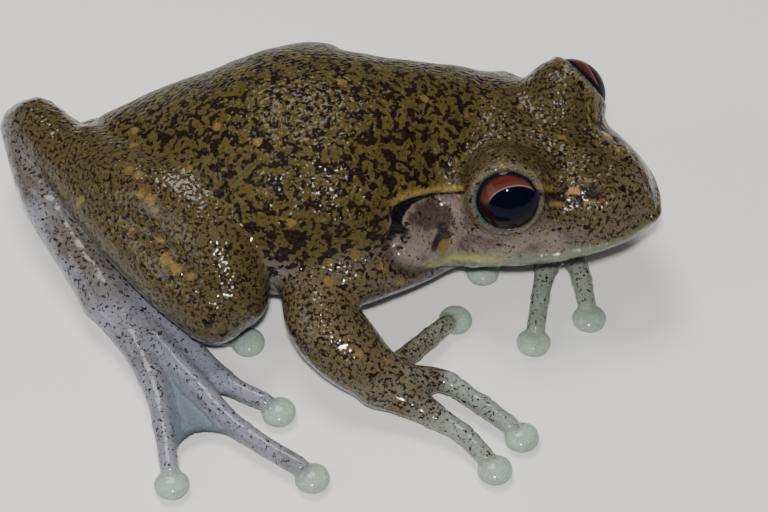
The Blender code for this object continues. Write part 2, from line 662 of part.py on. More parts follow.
def give_finish(thing):
    key = next(k for k in COLOURS if k in thing.name)
    material = bpy.data.materials.new(thing.name + "_skin")
    material.use_nodes = True
    shader = material.node_tree.nodes["Principled BSDF"]
    shader.inputs["Base Color"].default_value = (*COLOURS[key], 1)
    shader.inputs["Roughness"].default_value = 0.1 if key == "eye" else 0.4
    shader.inputs["Metallic"].default_value = 0.0
    thing.data.materials.clear()
    thing.data.materials.append(material)
    thing.data.shade_smooth()
    thing.data.set_sharp_from_angle(angle=math.radians(50))


def make_frog():
    made = {"torso": make_torso(), "head": make_head(), "lower_jaw": make_jaw()}
    for side, name in ((-1, "right_eye"), (1, "left_eye")):
        made[name] = ball_solid(name, eye_place(side)[0], EYE_RADIUS, 18, 9)
    for name, rows in LIMB_ROWS.items():
        made[name] = limb_solid(name, rows, LIMB_SIDES, LIMB_STATIONS)
        cut_clear(made[name], LIMB_NEIGHBOURS[name])
    for name in DIGIT_ROWS:
        made[name] = make_extremity(name)
        cut_clear(made[name], EXTREMITY_NEIGHBOURS[name])
    finish_on_floor(list(made.values()))
    for thing in made.values():
        give_finish(thing)


clear_scene()
make_frog()
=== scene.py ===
"""A Goudot's bright-eyed frog: one wet skin over all its flesh and two glossy eyes, on a pale floor.

Rows of numbers are in millimetres in the frog's own frame: +X forward along the body, +Y to its left,
+Z up, floor at z = 0. The skin is the zero surface of one distance function: ovals swept along
smooth paths for the torso, head and limbs, balls and rings for eye bulges and lids, thin sheets
for webs, all run together with rounded creases. It is sampled on a grid, joined into quads, and
each vertex is drawn onto the exact surface.
"""

import math

import bpy
import numpy as np
from mathutils import Matrix, Vector


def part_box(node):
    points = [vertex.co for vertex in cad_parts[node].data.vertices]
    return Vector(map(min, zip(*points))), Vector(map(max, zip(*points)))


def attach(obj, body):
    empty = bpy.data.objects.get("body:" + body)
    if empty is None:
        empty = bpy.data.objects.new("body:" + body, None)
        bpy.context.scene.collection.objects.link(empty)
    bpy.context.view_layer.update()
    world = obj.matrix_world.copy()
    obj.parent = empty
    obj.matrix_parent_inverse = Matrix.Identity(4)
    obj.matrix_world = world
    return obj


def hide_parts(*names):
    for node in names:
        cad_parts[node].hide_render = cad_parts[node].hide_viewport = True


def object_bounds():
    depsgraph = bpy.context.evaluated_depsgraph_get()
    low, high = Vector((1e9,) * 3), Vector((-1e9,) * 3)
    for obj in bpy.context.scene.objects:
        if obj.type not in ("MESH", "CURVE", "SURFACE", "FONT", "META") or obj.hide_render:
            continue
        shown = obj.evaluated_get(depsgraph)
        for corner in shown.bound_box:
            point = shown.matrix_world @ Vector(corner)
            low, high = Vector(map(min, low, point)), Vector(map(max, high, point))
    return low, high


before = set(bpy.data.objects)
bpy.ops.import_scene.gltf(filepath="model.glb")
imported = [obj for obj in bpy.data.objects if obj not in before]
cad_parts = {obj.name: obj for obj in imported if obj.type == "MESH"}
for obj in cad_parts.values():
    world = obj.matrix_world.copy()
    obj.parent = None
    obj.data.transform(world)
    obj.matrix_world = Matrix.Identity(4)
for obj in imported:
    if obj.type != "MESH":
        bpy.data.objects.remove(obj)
cad_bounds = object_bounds()

MM = 0.001

# Torso stations: x, y and z of the middle, half width, height above it, depth below it
TORSO_ROWS = [
    (-46.5, -7.4, 8.0, 2.0, 2.0, 2.2),
    (-43.0, -7.2, 8.4, 6.0, 5.6, 5.2),
    (-36.5, -6.8, 9.0, 10.2, 9.2, 7.4),
    (-30.0, -6.5, 9.6, 13.4, 12.3, 9.0),
    (-25.0, -6.5, 10.2, 15.8, 14.3, 10.4),
    (-20.0, -6.3, 10.8, 17.8, 15.7, 11.4),
    (-14.0, -5.8, 11.4, 19.2, 16.0, 12.0),
    (-8.0, -4.6, 11.8, 18.2, 15.8, 10.9),
    (-3.0, -2.6, 12.2, 15.5, 14.6, 9.4),
    (2.0, -0.5, 12.8, 12.8, 12.8, 8.4),
    (6.0, 0.8, 13.2, 11.2, 11.0, 7.2),
    (10.0, 1.5, 13.4, 9.6, 8.4, 5.4),
]
# The head's own frame stands on the mouth line below the point between the eyes
HEAD_PLACE = np.array((20.3, -2.6, 10.6))
HEAD_TURN = math.radians(-16)
HEAD_LIFT = math.radians(13)
# Head stations: distance forward, half width at the lip, height above it, depth of the jaw
HEAD_ROWS = [
    (-20, 13.4, 12.8, 5.6), (-15, 15.0, 13.4, 6.0), (-10, 15.4, 13.4, 5.8), (-5, 14.9, 12.8, 5.4),
    (0, 13.6, 11.5, 4.8), (5, 11.5, 10.0, 4.0), (9, 9.1, 8.6, 3.2), (12, 6.7, 7.2, 2.5),
    (14.2, 3.8, 5.2, 1.7), (15.3, 1.2, 3.2, 1.0),
]
JAW_INSET = 0.45
LIP_RADIUS = 0.55
EYE_RADIUS = 4.9
EYE_PLACE = (-0.3, 9.8, 9.5)
EYE_AXIS = (0.48, 0.80, 0.34)
EYE_BULGE_RADIUS = 5.7
EYE_BULGE_BACK = 0.95
LID_RING_RADIUS = 4.35
LID_RADIUS = 0.62
LID_OUT = 2.15
SOCKET_FORWARD = 1.3      # the hollow that shows the eyeball is centred this far ahead of its centre
NOSTRIL_U = 9.6
NOSTRIL_ANGLE = 62
TYMPANUM_U = -8.6
TYMPANUM_ANGLE = 29
TYMPANUM_RADIUS = 1.9
# Radius of the eardrum's ring in section, of the fold behind the eye, and of the nostril's swelling and hole
TYMPANUM_RIM = 0.38
FOLD_RADIUS = 0.75
NOSTRIL_SWELLING = 1.15
NOSTRIL_HOLE = 0.5
# The fold's path: forward, and degrees up from the lip
FOLD_ROWS = [(-5.2, 45), (-9.4, 38), (-13.8, 30), (-17.1, 21), (-18.6, 11), (-19.0, 3)]

# Limb stations: x, y, z, half width, half height
LIMB_ROWS = {
    "right_thigh": [
        (-42, -9.5, 10.5, 6, 6), (-34, -14.8, 12.3, 7.2, 7.0), (-24.8, -19, 13.6, 7.2, 7.0),
        (-20.2, -23.6, 12.4, 6.2, 6.0), (-18.6, -27.0, 10, 5.2, 5.2)],
    "right_shank": [
        (-20.3, -29.0, 9.0, 4.9, 4.9), (-26, -25, 10.3, 5.6, 5.5), (-32.5, -19.8, 11, 5.7, 5.6),
        (-39, -14.2, 11, 5.3, 5.2), (-45.5, -8.5, 11, 4.6, 4.6), (-51.5, -3.8, 10.5, 4.2, 4.2)],
    "right_tarsus": [
        (-53, -3.2, 9.5, 3.8, 3.8), (-48.5, -12, 7.5, 3.4, 3.2), (-42, -19.5, 5.5, 3.3, 3.0),
        (-35.8, -25.6, 4.0, 3.9, 3.0)],
    "right_upper_arm": [
        (8, -9.4, 8.2, 4.4, 4.4), (3, -16.0, 9.3, 4.0, 4.0), (-2, -20.8, 10.2, 3.8, 3.8),
        (-7.5, -23.4, 9.8, 4.1, 4.1)],
    "right_forearm": [
        (-8, -24.2, 9.3, 4.3, 4.3), (-6, -27.5, 8, 4.9, 4.7), (-1.6, -30.8, 6, 4.7, 4.3),
        (3, -32.8, 4, 3.7, 2.9)],
    "left_thigh": [
        (-40, -4, 8.5, 5.2, 5.2), (-30, 0.4, 9, 6.5, 6), (-18, 7, 8.8, 6, 5.5),
        (-9.5, 12, 7, 4.6, 4.6)],
    "left_shank": [
        (-8, 13.4, 6.3, 4.5, 4.5), (-17, 11.6, 6.4, 5.2, 5.1), (-28, 7.6, 6, 5.0, 4.8),
        (-37, 2.5, 5.4, 4.2, 4.2), (-45, -1, 4.9, 3.8, 3.8)],
    "left_tarsus": [
        (-46, -0.2, 3.8, 3.2, 3.2), (-40, 4.6, 3.2, 2.8, 2.7), (-32, 10.2, 2.9, 2.8, 2.6),
        (-24, 14, 2.8, 3.4, 2.4)],
    "left_upper_arm": [
        (1, 8, 9.2, 4.4, 4.4), (6, 13, 7.8, 3.9, 3.9), (10.2, 15.4, 6.6, 3.8, 3.8)],
    "left_forearm": [
        (10.8, 15.2, 6.2, 3.9, 3.9), (14, 11, 5.2, 4.1, 3.8), (18, 5.5, 3.7, 3.7, 2.9),
        (21, 0.8, 2.9, 3.1, 2.3)],
}
# How rounded the crease is where each limb piece meets what is already there
LIMB_CREASE = {
    "right_thigh": 0.7, "right_shank": 0.45, "right_tarsus": 0.5, "right_upper_arm": 1.3,
    "right_forearm": 1.0, "left_thigh": 0.8, "left_shank": 0.5, "left_tarsus": 0.5,
    "left_upper_arm": 1.2, "left_forearm": 0.8,
}
# Digits in order round each hand and foot, given as limbs are, from the palm or sole to the tip
DIGIT_ROWS = {
    "right_hand": [
        [(2.6, -31.6, 3.3, 2.6, 2.2), (0.2, -29.2, 2.4, 1.4, 1.2), (-1.7, -27.2, 1.9, 1.25, 1.1)],
        [(2.8, -31.8, 3.3, 2.8, 2.3), (5.0, -27.5, 2.5, 1.5, 1.3), (7.5, -23.3, 2.1, 1.3, 1.2),
         (9.4, -20.2, 1.9, 1.25, 1.1)],
        [(2.6, -32.8, 3.4, 3.2, 2.4), (6.5, -31.8, 3.2, 2.6, 2.0), (10.5, -30.4, 2.6, 1.6, 1.4),
         (15.1, -32.3, 2.2, 1.3, 1.2), (20.6, -35.4, 1.9, 1.25, 1.1)],
        [(2.6, -33.2, 3.4, 3.2, 2.4), (7.0, -34.6, 3.0, 2.5, 1.9), (10.5, -36.0, 2.4, 1.7, 1.4),
         (14.7, -38.0, 2.1, 1.3, 1.2), (18.2, -40.9, 1.9, 1.25, 1.1)],
    ],
    "left_hand": [
        [(21, 0.8, 3.0, 3.0, 2.2), (16.5, 0.0, 2.7, 1.8, 1.5), (12.5, -1.8, 2.2, 1.3, 1.2),
         (10.6, -2.6, 1.9, 1.25, 1.1)],
        [(21, 0.8, 3.0, 3.0, 2.2), (18.6, -2.8, 2.8, 1.8, 1.5), (15.6, -6, 2.2, 1.3, 1.2),
         (13.6, -8.4, 1.9, 1.25, 1.1)],
        [(21, 0.8, 3.0, 3.0, 2.2), (21.2, -4, 2.9, 2.4, 1.8), (21.0, -10, 2.4, 1.4, 1.3),
         (21.2, -18.8, 1.9, 1.25, 1.1)],
        [(21, 0.8, 3.0, 3.0, 2.2), (23, -3.6, 2.9, 2.2, 1.8), (25.5, -8, 2.4, 1.4, 1.3),
         (27.4, -13.4, 1.9, 1.25, 1.1)],
    ],
    "right_foot": [
        [(-36, -25.8, 3.8, 3.6, 2.6), (-30.8, -32.0, 3.0, 2.2, 1.8), (-27.0, -37.4, 2.4, 1.6, 1.4),
         (-23.6, -44.5, 2.1, 1.3, 1.2), (-21.3, -50.5, 1.9, 1.25, 1.1)],
        [(-36, -25.5, 3.8, 3.2, 2.6), (-29.5, -29.8, 3.2, 1.9, 1.7), (-22.2, -36.0, 2.5, 1.5, 1.4),
         (-14.0, -42.6, 2.1, 1.3, 1.2), (-4.8, -47.0, 1.9, 1.25, 1.1)],
        [(-35, -24.5, 3.8, 2.6, 2.4), (-29, -27.0, 3.2, 1.7, 1.6), (-21.7, -32.4, 2.4, 1.4, 1.3),
         (-15.4, -36.6, 2.1, 1.3, 1.2), (-11.4, -37.8, 1.9, 1.25, 1.1)],
        [(-35, -24.5, 3.8, 2.6, 2.4), (-28, -26.2, 2.8, 1.5, 1.4), (-22, -28.5, 2.2, 1.3, 1.2),
         (-18, -28.0, 1.9, 1.25, 1.1)],
        [(-35, -24.0, 3.6, 2.4, 2.2), (-30, -23.6, 2.6, 1.5, 1.4), (-25.5, -22.3, 1.9, 1.25, 1.1)],
    ],
    "left_foot": [
        [(-24, 15.4, 2.8, 3.0, 2.2), (-18, 18.0, 2.6, 2.0, 1.6), (-11, 20.4, 2.2, 1.4, 1.3),
         (-4.0, 21.5, 2.0, 1.3, 1.2), (2.6, 22.0, 1.9, 1.25, 1.1)],
        [(-24, 15.2, 2.8, 3.0, 2.2), (-16, 16.6, 2.8, 1.9, 1.7), (-7, 17.8, 2.4, 1.5, 1.4),
         (4, 18.5, 2.1, 1.3, 1.2), (13.4, 20.6, 1.9, 1.25, 1.1)],
        [(-24, 14.8, 2.8, 3.0, 2.2), (-16, 14.6, 2.6, 1.7, 1.6), (-8, 14.4, 2.2, 1.4, 1.3),
         (0.6, 14.2, 1.9, 1.25, 1.1)],
        [(-24, 14.6, 2.8, 3.0, 2.2), (-17, 12.6, 2.4, 1.5, 1.4), (-11, 10.9, 2.0, 1.3, 1.2),
         (-7.2, 10.0, 1.9, 1.25, 1.1)],
        [(-24, 14.4, 2.8, 2.8, 2.2), (-19.5, 10.6, 2.3, 1.4, 1.3), (-16.0, 7.6, 1.9, 1.25, 1.1)],
    ],
}
# The disc at each tip: how far past the tip its middle lies, how high, and its half sizes
DISC_REACH = 1.7
DISC_MIDDLE = 1.0
DISC_SIZES = (2.3, 2.3, 1.25)
WEB_THICKNESS = 0.7
WEB_STATIONS = 25         # on the path of each of the two digits
# Webs: the two digits, then how far along each the web reaches and how deep its edge is cut in
WEB_ROWS = {
    "right_hand": [(1, 2, 0.36, 0.30, 0.45), (2, 3, 0.42, 0.42, 0.4)],
    "left_hand": [(1, 2, 0.42, 0.36, 0.45), (2, 3, 0.38, 0.44, 0.4)],
    "right_foot": [(0, 1, 0.9, 0.77, 0.1), (1, 2, 0.66, 0.9, 0.14), (2, 3, 0.72, 0.84, 0.3),
                   (3, 4, 0.6, 0.8, 0.3)],
    "left_foot": [(0, 1, 0.9, 0.72, 0.1), (1, 2, 0.6, 0.88, 0.14), (2, 3, 0.62, 0.84, 0.3),
                  (3, 4, 0.6, 0.8, 0.3)],
}

HEAD_FORWARD = np.array([math.cos(HEAD_TURN) * math.cos(HEAD_LIFT),
                         math.sin(HEAD_TURN) * math.cos(HEAD_LIFT), math.sin(HEAD_LIFT)])
HEAD_LEFT = np.array([-math.sin(HEAD_TURN), math.cos(HEAD_TURN), 0.0])
HEAD_UP = np.cross(HEAD_FORWARD, HEAD_LEFT)


def head_point(u, v, w):
    """The point u forward, v to the left and w up in the head's own frame."""
    return HEAD_PLACE + u * HEAD_FORWARD + v * HEAD_LEFT + w * HEAD_UP


def head_coordinates(points):
    """Distance forward, left and up in the head's own frame."""
    away = points - HEAD_PLACE
    return away @ HEAD_FORWARD, away @ HEAD_LEFT, away @ HEAD_UP


def head_size(u):
    """Half width, height above the lip and depth of the jaw at a distance forward."""
    rows = np.asarray(HEAD_ROWS, float)
    return [np.interp(u, rows[:, 0], rows[:, k]) for k in (1, 2, 3)]


def head_surface(u, angle, side, out=0.0):
    """A point on the upper head at an angle in degrees up from the lip, moved out along its normal."""
    wide, top, _ = head_size(u)
    a = math.radians(angle)
    normal = np.array([0, math.cos(a) / wide, math.sin(a) / top])
    normal /= np.linalg.norm(normal)
    return head_point(u, side * (wide * math.cos(a) + out * normal[1]), top * math.sin(a) + out * normal[2])


def eye_place(side):
    """Centre of an eye and the way it looks; side is 1 on the left and -1 on the right."""
    u, v, w = EYE_PLACE
    axis = EYE_AXIS[0] * HEAD_FORWARD + side * EYE_AXIS[1] * HEAD_LEFT + EYE_AXIS[2] * HEAD_UP
    return head_point(u, side * v, w), axis / np.linalg.norm(axis)


def smooth_rows(rows, count):
    """Rows read evenly along a smooth curve through the given ones.

    Between two rows it is the cubic that meets both, with the slopes that their neighbours give them.
    """
    rows = np.asarray(rows, float)
    at = np.concatenate([[0], np.cumsum(np.linalg.norm(np.diff(rows[:, :3], axis=0), axis=1))])
    slope = np.gradient(rows, at, axis=0)
    where = np.linspace(0, at[-1], count)
    i = np.clip(np.searchsorted(at, where, side="right") - 1, 0, len(at) - 2)
    span = (at[i + 1] - at[i])[:, None]
    t = (where - at[i])[:, None] / span
    return ((1 + 2 * t) * (1 - t) ** 2 * rows[i] + t * (1 - t) ** 2 * span * slope[i]
            + t * t * (3 - 2 * t) * rows[i + 1] + t * t * (t - 1) * span * slope[i + 1])


def smooth_min(a, b, k):
    """The smaller of two distances, with a crease rounded over the width k.

    Where they differ by less than k, h goes from 0 to 1 and mixes them, and k h (1 - h) is taken off.
    """
    h = np.clip(0.5 + 0.5 * (b - a) / k, 0, 1)
    return b + (a - b) * h - k * h * (1 - h)


def smooth_max(a, b, k):
    """The larger of two distances, with an edge rounded over the width k."""
    return -smooth_min(-a, -b, k)


def bell(distance, width):
    """A bell curve: e to the power of minus the square of distance over width."""
    return np.exp(-(distance / width) ** 2)


def ease(value, low, high):
    """Rises from 0 at low to 1 at high as t t (3 - 2 t); the other way round if low is above high."""
    t = np.clip((value - low) / (high - low), 0, 1)
    return t * t * (3 - 2 * t)


def oval_distance(x, y, z, a, b, c):
    """Distance to the surface of an egg with half sizes a, b and c, true to first order.

    near is the length of (x/a, y/b, z/c), which is 1 on the surface, and near - 1 is divided by its slope.
    """
    near = np.sqrt((x / a) ** 2 + (y / b) ** 2 + (z / c) ** 2)
    slope = np.sqrt((x / a ** 2) ** 2 + (y / b ** 2) ** 2 + (z / c ** 2) ** 2)
    return near * (near - 1) / np.maximum(slope, 1e-6)


def coarse_place(points, centres):
    """Station number on a path that lies nearest to each point, from straight pieces."""
    best = np.full(len(points), np.inf)
    place = np.zeros(len(points))
    for i in range(len(centres) - 1):
        step = centres[i + 1] - centres[i]
        away = points - centres[i]
        t = np.clip(away @ step / (step @ step), 0, 1)
        away = away - t[:, None] * step
        far = (away * away).sum(axis=1)
        closer = far < best
        best[closer] = far[closer]
        place[closer] = i + t[closer]
    return place


def at_place(place, table):
    """Rows of a table read between two stations."""
    i = np.clip(place.astype(int), 0, len(table) - 2)
    t = (place - i)[:, None]
    return table[i] * (1 - t) + table[i + 1] * t


def exact_place(points, place, centres, rounds=3):
    """Slides each place along the path until the offset stands square to it."""
    step = np.gradient(centres, axis=0)
    for _ in range(rounds):
        way = at_place(place, step)
        move = ((points - at_place(place, centres)) * way).sum(axis=1) / (way * way).sum(axis=1)
        place = np.clip(place + move, 0, len(centres) - 1)
    return place, points - at_place(place, centres)


# Stations on a path, and the step between those that are searched first
PATH_STATIONS = 181
PATH_STRIDE = 15


class Tube:
    """An oval section swept along a smooth path, rounded at both ends."""

    def __init__(self, rows, stride=PATH_STRIDE):
        rows = smooth_rows(rows, PATH_STATIONS)
        self.centres, self.sizes = rows[:, :3], rows[:, 3:5]
        self.stride = stride
        along = np.gradient(self.centres, axis=0)
        along /= np.linalg.norm(along, axis=1, keepdims=True)
        side = np.cross((0, 0, 1), along)
        side /= np.linalg.norm(side, axis=1, keepdims=True)
        self.table = np.concatenate([self.sizes, side, np.cross(along, side), along], axis=1)
        reach = self.sizes.max()
        self.low, self.high = self.centres.min(axis=0) - reach, self.centres.max(axis=0) + reach

    def nearest(self, points):
        """The station number nearest to each point and the offset from there."""
        place = coarse_place(points, self.centres[::self.stride]) * self.stride
        return exact_place(points, place, self.centres)

    def distance(self, points):
        """Each point is set against the oval at its nearest station: across, over and past the end."""
        place, offset = self.nearest(points)
        row = at_place(place, self.table)
        a, b = row[:, 0], row[:, 1]
        x, y, z = [(offset * row[:, k:k + 3]).sum(axis=1) for k in (2, 5, 8)]
        return oval_distance(x, y, z, a, b, (a + b) / 2)


class Torso:
    """Upright egg-shaped sections along a path over the ground."""

    def __init__(self):
        rows = smooth_rows(TORSO_ROWS, PATH_STATIONS)
        along = np.gradient(rows[:, :2], axis=0)
        along /= np.linalg.norm(along, axis=1, keepdims=True)
        self.table = np.concatenate([rows, along], axis=1)
        reach = rows[:, 3:].max()
        self.low = rows[:, :3].min(axis=0) - (2, reach, reach)
        self.high = rows[:, :3].max(axis=0) + (8, reach, reach)

    def distance(self, points):
        """Each point is set against the egg at its nearest station: across, over or under, past the end."""
        path = self.table[:, :2]
        place = np.interp(points[:, 0], path[:, 0], np.arange(len(path)))
        place, offset = exact_place(points[:, :2], place, path, 5)
        row = at_place(place, self.table)
        x = -offset[:, 0] * row[:, 7] + offset[:, 1] * row[:, 6]
        z = offset[:, 0] * row[:, 6] + offset[:, 1] * row[:, 7]
        y = points[:, 2] - row[:, 2]
        reach = np.where(z < 0, 1.4, 7.0)
        return oval_distance(x, y, z, row[:, 3], np.where(y > 0, row[:, 4], row[:, 5]), reach)


class Head:
    """The head's sections: wide at the lip, higher above it than below, the jaw a little narrower."""

    def __init__(self):
        rows = smooth_rows([(u, 0.0, 0.0, *size) for u, *size in HEAD_ROWS], 50)
        self.rows = rows
        ends = np.array([head_point(u, v, w) for u in (-26, 17) for v in (-17, 17) for w in (-7, 15)])
        self.low, self.high = ends.min(axis=0), ends.max(axis=0)

    def distance(self, points):
        """Distance to the section at the point's own u, made smaller where the width changes with u."""
        u, v, w = head_coordinates(points)
        inside = np.clip(u, self.rows[0, 0], self.rows[-1, 0])
        wide, top, deep = [np.interp(inside, self.rows[:, 0], self.rows[:, k]) for k in (3, 4, 5)]
        below = 1 / (1 + np.exp(np.clip((w + 0.1) / 0.16, -30, 30)))
        wide = wide - JAW_INSET * below
        along = u - inside
        slope = np.interp(inside, self.rows[:, 0], np.gradient(self.rows[:, 3], self.rows[:, 0]))
        reach = np.where(along > 0, 0.6, 6.0)
        flat = oval_distance(v, w, along, np.maximum(wide, 0.4), np.where(w > 0, top, deep), reach)
        return flat / np.sqrt(1 + np.minimum(slope ** 2, 9) * (np.abs(v) / (np.abs(v) + np.abs(w) + 0.1)))


# How rounded the crease is where the head meets the shoulder at the cheek
CHEEK_CREASE = 1.3


def crease_width(form, crease, points):
    """The head runs softly into the nape on top and more sharply into the shoulder at the cheek."""
    if isinstance(form, Head):
        top = ease(head_coordinates(points)[2], 2.0, 9.0)
        return CHEEK_CREASE + (crease - CHEEK_CREASE) * top
    return crease


class Ball:
    """A ball, or an egg upright in the frog's frame where three half sizes are given."""

    def __init__(self, centre, radii):
        self.centre = np.asarray(centre, float)
        self.radii = np.broadcast_to(radii, 3).astype(float)
        self.low, self.high = self.centre - self.radii, self.centre + self.radii

    def distance(self, points):
        return oval_distance(*(points - self.centre).T, *self.radii)


class Ring:
    """A ring of round section about an axis."""

    def __init__(self, centre, axis, ring_radius, tube_radius):
        self.centre = np.asarray(centre, float)
        self.axis = np.asarray(axis, float) / np.linalg.norm(axis)
        self.sizes = ring_radius, tube_radius
        self.low = self.centre - ring_radius - tube_radius
        self.high = self.centre + ring_radius + tube_radius

    def distance(self, points):
        """Distance to the circle inside the ring, less the radius of its section."""
        away = points - self.centre
        up = away @ self.axis
        out = np.sqrt(np.maximum((away * away).sum(axis=1) - up * up, 1e-9))
        return np.hypot(out - self.sizes[0], up) - self.sizes[1]


class Web:
    """A thin sheet between two digits, whose free edge curves in."""

    def __init__(self, first, second, reach_first, reach_second, notch):
        """Straight lines from digit to digit: t goes out along them and s across, cut in by 4 s (1 - s)."""
        s, t = np.meshgrid(np.linspace(0, 1, 36), np.linspace(0.06, 1, 44))
        t = t * (1 - notch * 4 * s * (1 - s))
        sides = []
        for rows, reach in ((first, reach_first), (second, reach_second)):
            path = smooth_rows(rows, WEB_STATIONS)[:, :3]
            at, stations = t * reach * (WEB_STATIONS - 1), np.arange(WEB_STATIONS)
            sides.append(np.stack([np.interp(at, stations, line) for line in path.T], axis=-1))
        sheet = sides[0] * (1 - s[..., None]) + sides[1] * s[..., None]
        sheet[..., 2] = np.maximum(sheet[..., 2] - 0.45, 0.7)
        normal = np.cross(np.gradient(sheet, axis=0), np.gradient(sheet, axis=1))
        normal /= np.maximum(np.linalg.norm(normal, axis=-1, keepdims=True), 1e-9)
        self.sheet, self.normal = sheet.reshape(-1, 3), normal.reshape(-1, 3)
        self.edge = np.arange(s.size) >= s.size - s.shape[1]
        self.low, self.high = self.sheet.min(axis=0) - 0.4, self.sheet.max(axis=0) + 0.4

    def distance(self, points):
        """Distance to the sheet's plane at its nearest place, or to that place itself at the free edge.

        Half the thickness is taken off.
        """
        far = (points ** 2).sum(axis=1)[:, None] + (self.sheet ** 2).sum(axis=1) - 2 * points @ self.sheet.T
        near = far.argmin(axis=1)
        away = points - self.sheet[near]
        plane = np.abs((away * self.normal[near]).sum(axis=1))
        whole = np.linalg.norm(away, axis=1)
        return np.where(self.edge[near] | (whole > 0.9), whole, plane) - WEB_THICKNESS / 2


def skin_forms():
    """Every form of the skin in turn: what it is, the form, how it joins, how rounded its crease is."""
    forms = []

    def add(name, form, crease, way="add"):
        forms.append((name, form, way, crease))

    add("torso", Torso(), 0.1)
    add("head", Head(), 4.5)
    rim = np.array([head_point(u, -head_size(u)[0], LIP_RADIUS) for u in np.linspace(-14.5, 15.0, 16)]
                   + [head_point(15.7, 0, LIP_RADIUS)]
                   + [head_point(u, head_size(u)[0], LIP_RADIUS) for u in np.linspace(15.0, -14.5, 16)])
    add("head", Tube([(*c, LIP_RADIUS, LIP_RADIUS) for c in rim], 5), 0.5)
    for side in (-1, 1):
        eye, axis = eye_place(side)
        add("head", Ball(eye - axis * EYE_BULGE_BACK, EYE_BULGE_RADIUS), 2.6)
    for side in (-1, 1):
        eye, axis = eye_place(side)
        hollow = math.hypot(LID_RING_RADIUS, LID_OUT - SOCKET_FORWARD) - 0.1
        add("head", Ball(eye + axis * SOCKET_FORWARD, hollow), 0.25, "cut")
        add("head", Ring(eye + axis * LID_OUT, axis, LID_RING_RADIUS, LID_RADIUS), 0.5)
        add("head", Ball(head_surface(NOSTRIL_U, NOSTRIL_ANGLE, side, -0.4), NOSTRIL_SWELLING), 0.6)
        add("head", Ball(head_surface(NOSTRIL_U, NOSTRIL_ANGLE, side, 0.75), NOSTRIL_HOLE), 0.2, "cut")
        fold = [(*head_surface(u, a, side, -0.15), FOLD_RADIUS, FOLD_RADIUS) for u, a in FOLD_ROWS]
        add("head", Tube(fold), 0.9)
        drum = head_surface(TYMPANUM_U, TYMPANUM_ANGLE, side, -0.1)
        outward = drum - head_surface(TYMPANUM_U, TYMPANUM_ANGLE, side, -2.0)
        add("head", Ring(drum, outward, TYMPANUM_RADIUS, TYMPANUM_RIM), 0.5)
    for name, rows in LIMB_ROWS.items():
        add(name, Tube(rows), LIMB_CREASE[name])
    for name, digits in DIGIT_ROWS.items():
        for first, second, *shape in WEB_ROWS[name]:
            add(name + "_web", Web(digits[first], digits[second], *shape), 0.3)
        for rows in digits:
            add(name + "_digit", Tube(rows), 0.9)
            tip, before = np.array(rows[-1][:2]), np.array(rows[-2][:2])
            centre = tip + (tip - before) / np.linalg.norm(tip - before) * DISC_REACH
            add(name + "_disc", Ball((*centre, DISC_MIDDLE), DISC_SIZES), 0.35)
    return forms


FORMS = skin_forms()


def near_form(points, form, margin):
    """Which points lie in the form's box when it is grown by a margin on every side."""
    return np.all((points > form.low - margin) & (points < form.high + margin), axis=1)


def skin_distance(points):
    """Signed distance to the skin: below zero inside it."""
    value = np.full(len(points), 6.0)
    for _, form, way, crease in FORMS:
        near = near_form(points, form, crease + 1.2)
        if not near.any():
            continue
        found = form.distance(points[near])
        if way == "cut":
            value[near] = smooth_max(value[near], -found, crease)
        else:
            value[near] = smooth_min(value[near], found, crease_width(form, crease, points[near]))
    return smooth_max(value, -points[:, 2], 0.3)


# Grid lines along each axis: from, to and spacing, finer over the head
GRID_X = [(-58.5, 6, 0.5), (6, 37.5, 0.38)]
GRID_Y = [(-56, 25.5, 0.44)]
GRID_Z = [(-1.2, 29.5, 0.42)]
GRID_SLICE = 24


def grid_lines(stops):
    """Grid lines from stops given as (from, to, spacing)."""
    lines = [np.arange(a, b - 1e-6, step) for a, b, step in stops]
    return np.concatenate(lines + [[stops[-1][1]]])


def sample_grid(xs, ys, zs):
    """The distance at every grid point, worked out in slices along x."""
    value = np.empty((len(xs), len(ys), len(zs)))
    for start in range(0, len(xs), GRID_SLICE):
        block = np.stack(np.meshgrid(xs[start:start + GRID_SLICE], ys, zs, indexing="ij"), axis=-1)
        value[start:start + GRID_SLICE] = skin_distance(block.reshape(-1, 3)).reshape(block.shape[:3])
    return value


def cells_beside(axis, other, i, j, k, corners):
    """The grid cells beside each line that the surface crosses, one set for each corner asked for."""
    for dj, dk in corners:
        cell = np.empty((3, len(i)), int)
        cell[axis], cell[other[0]], cell[other[1]] = i, j - dj, k - dk
        yield tuple(cell)


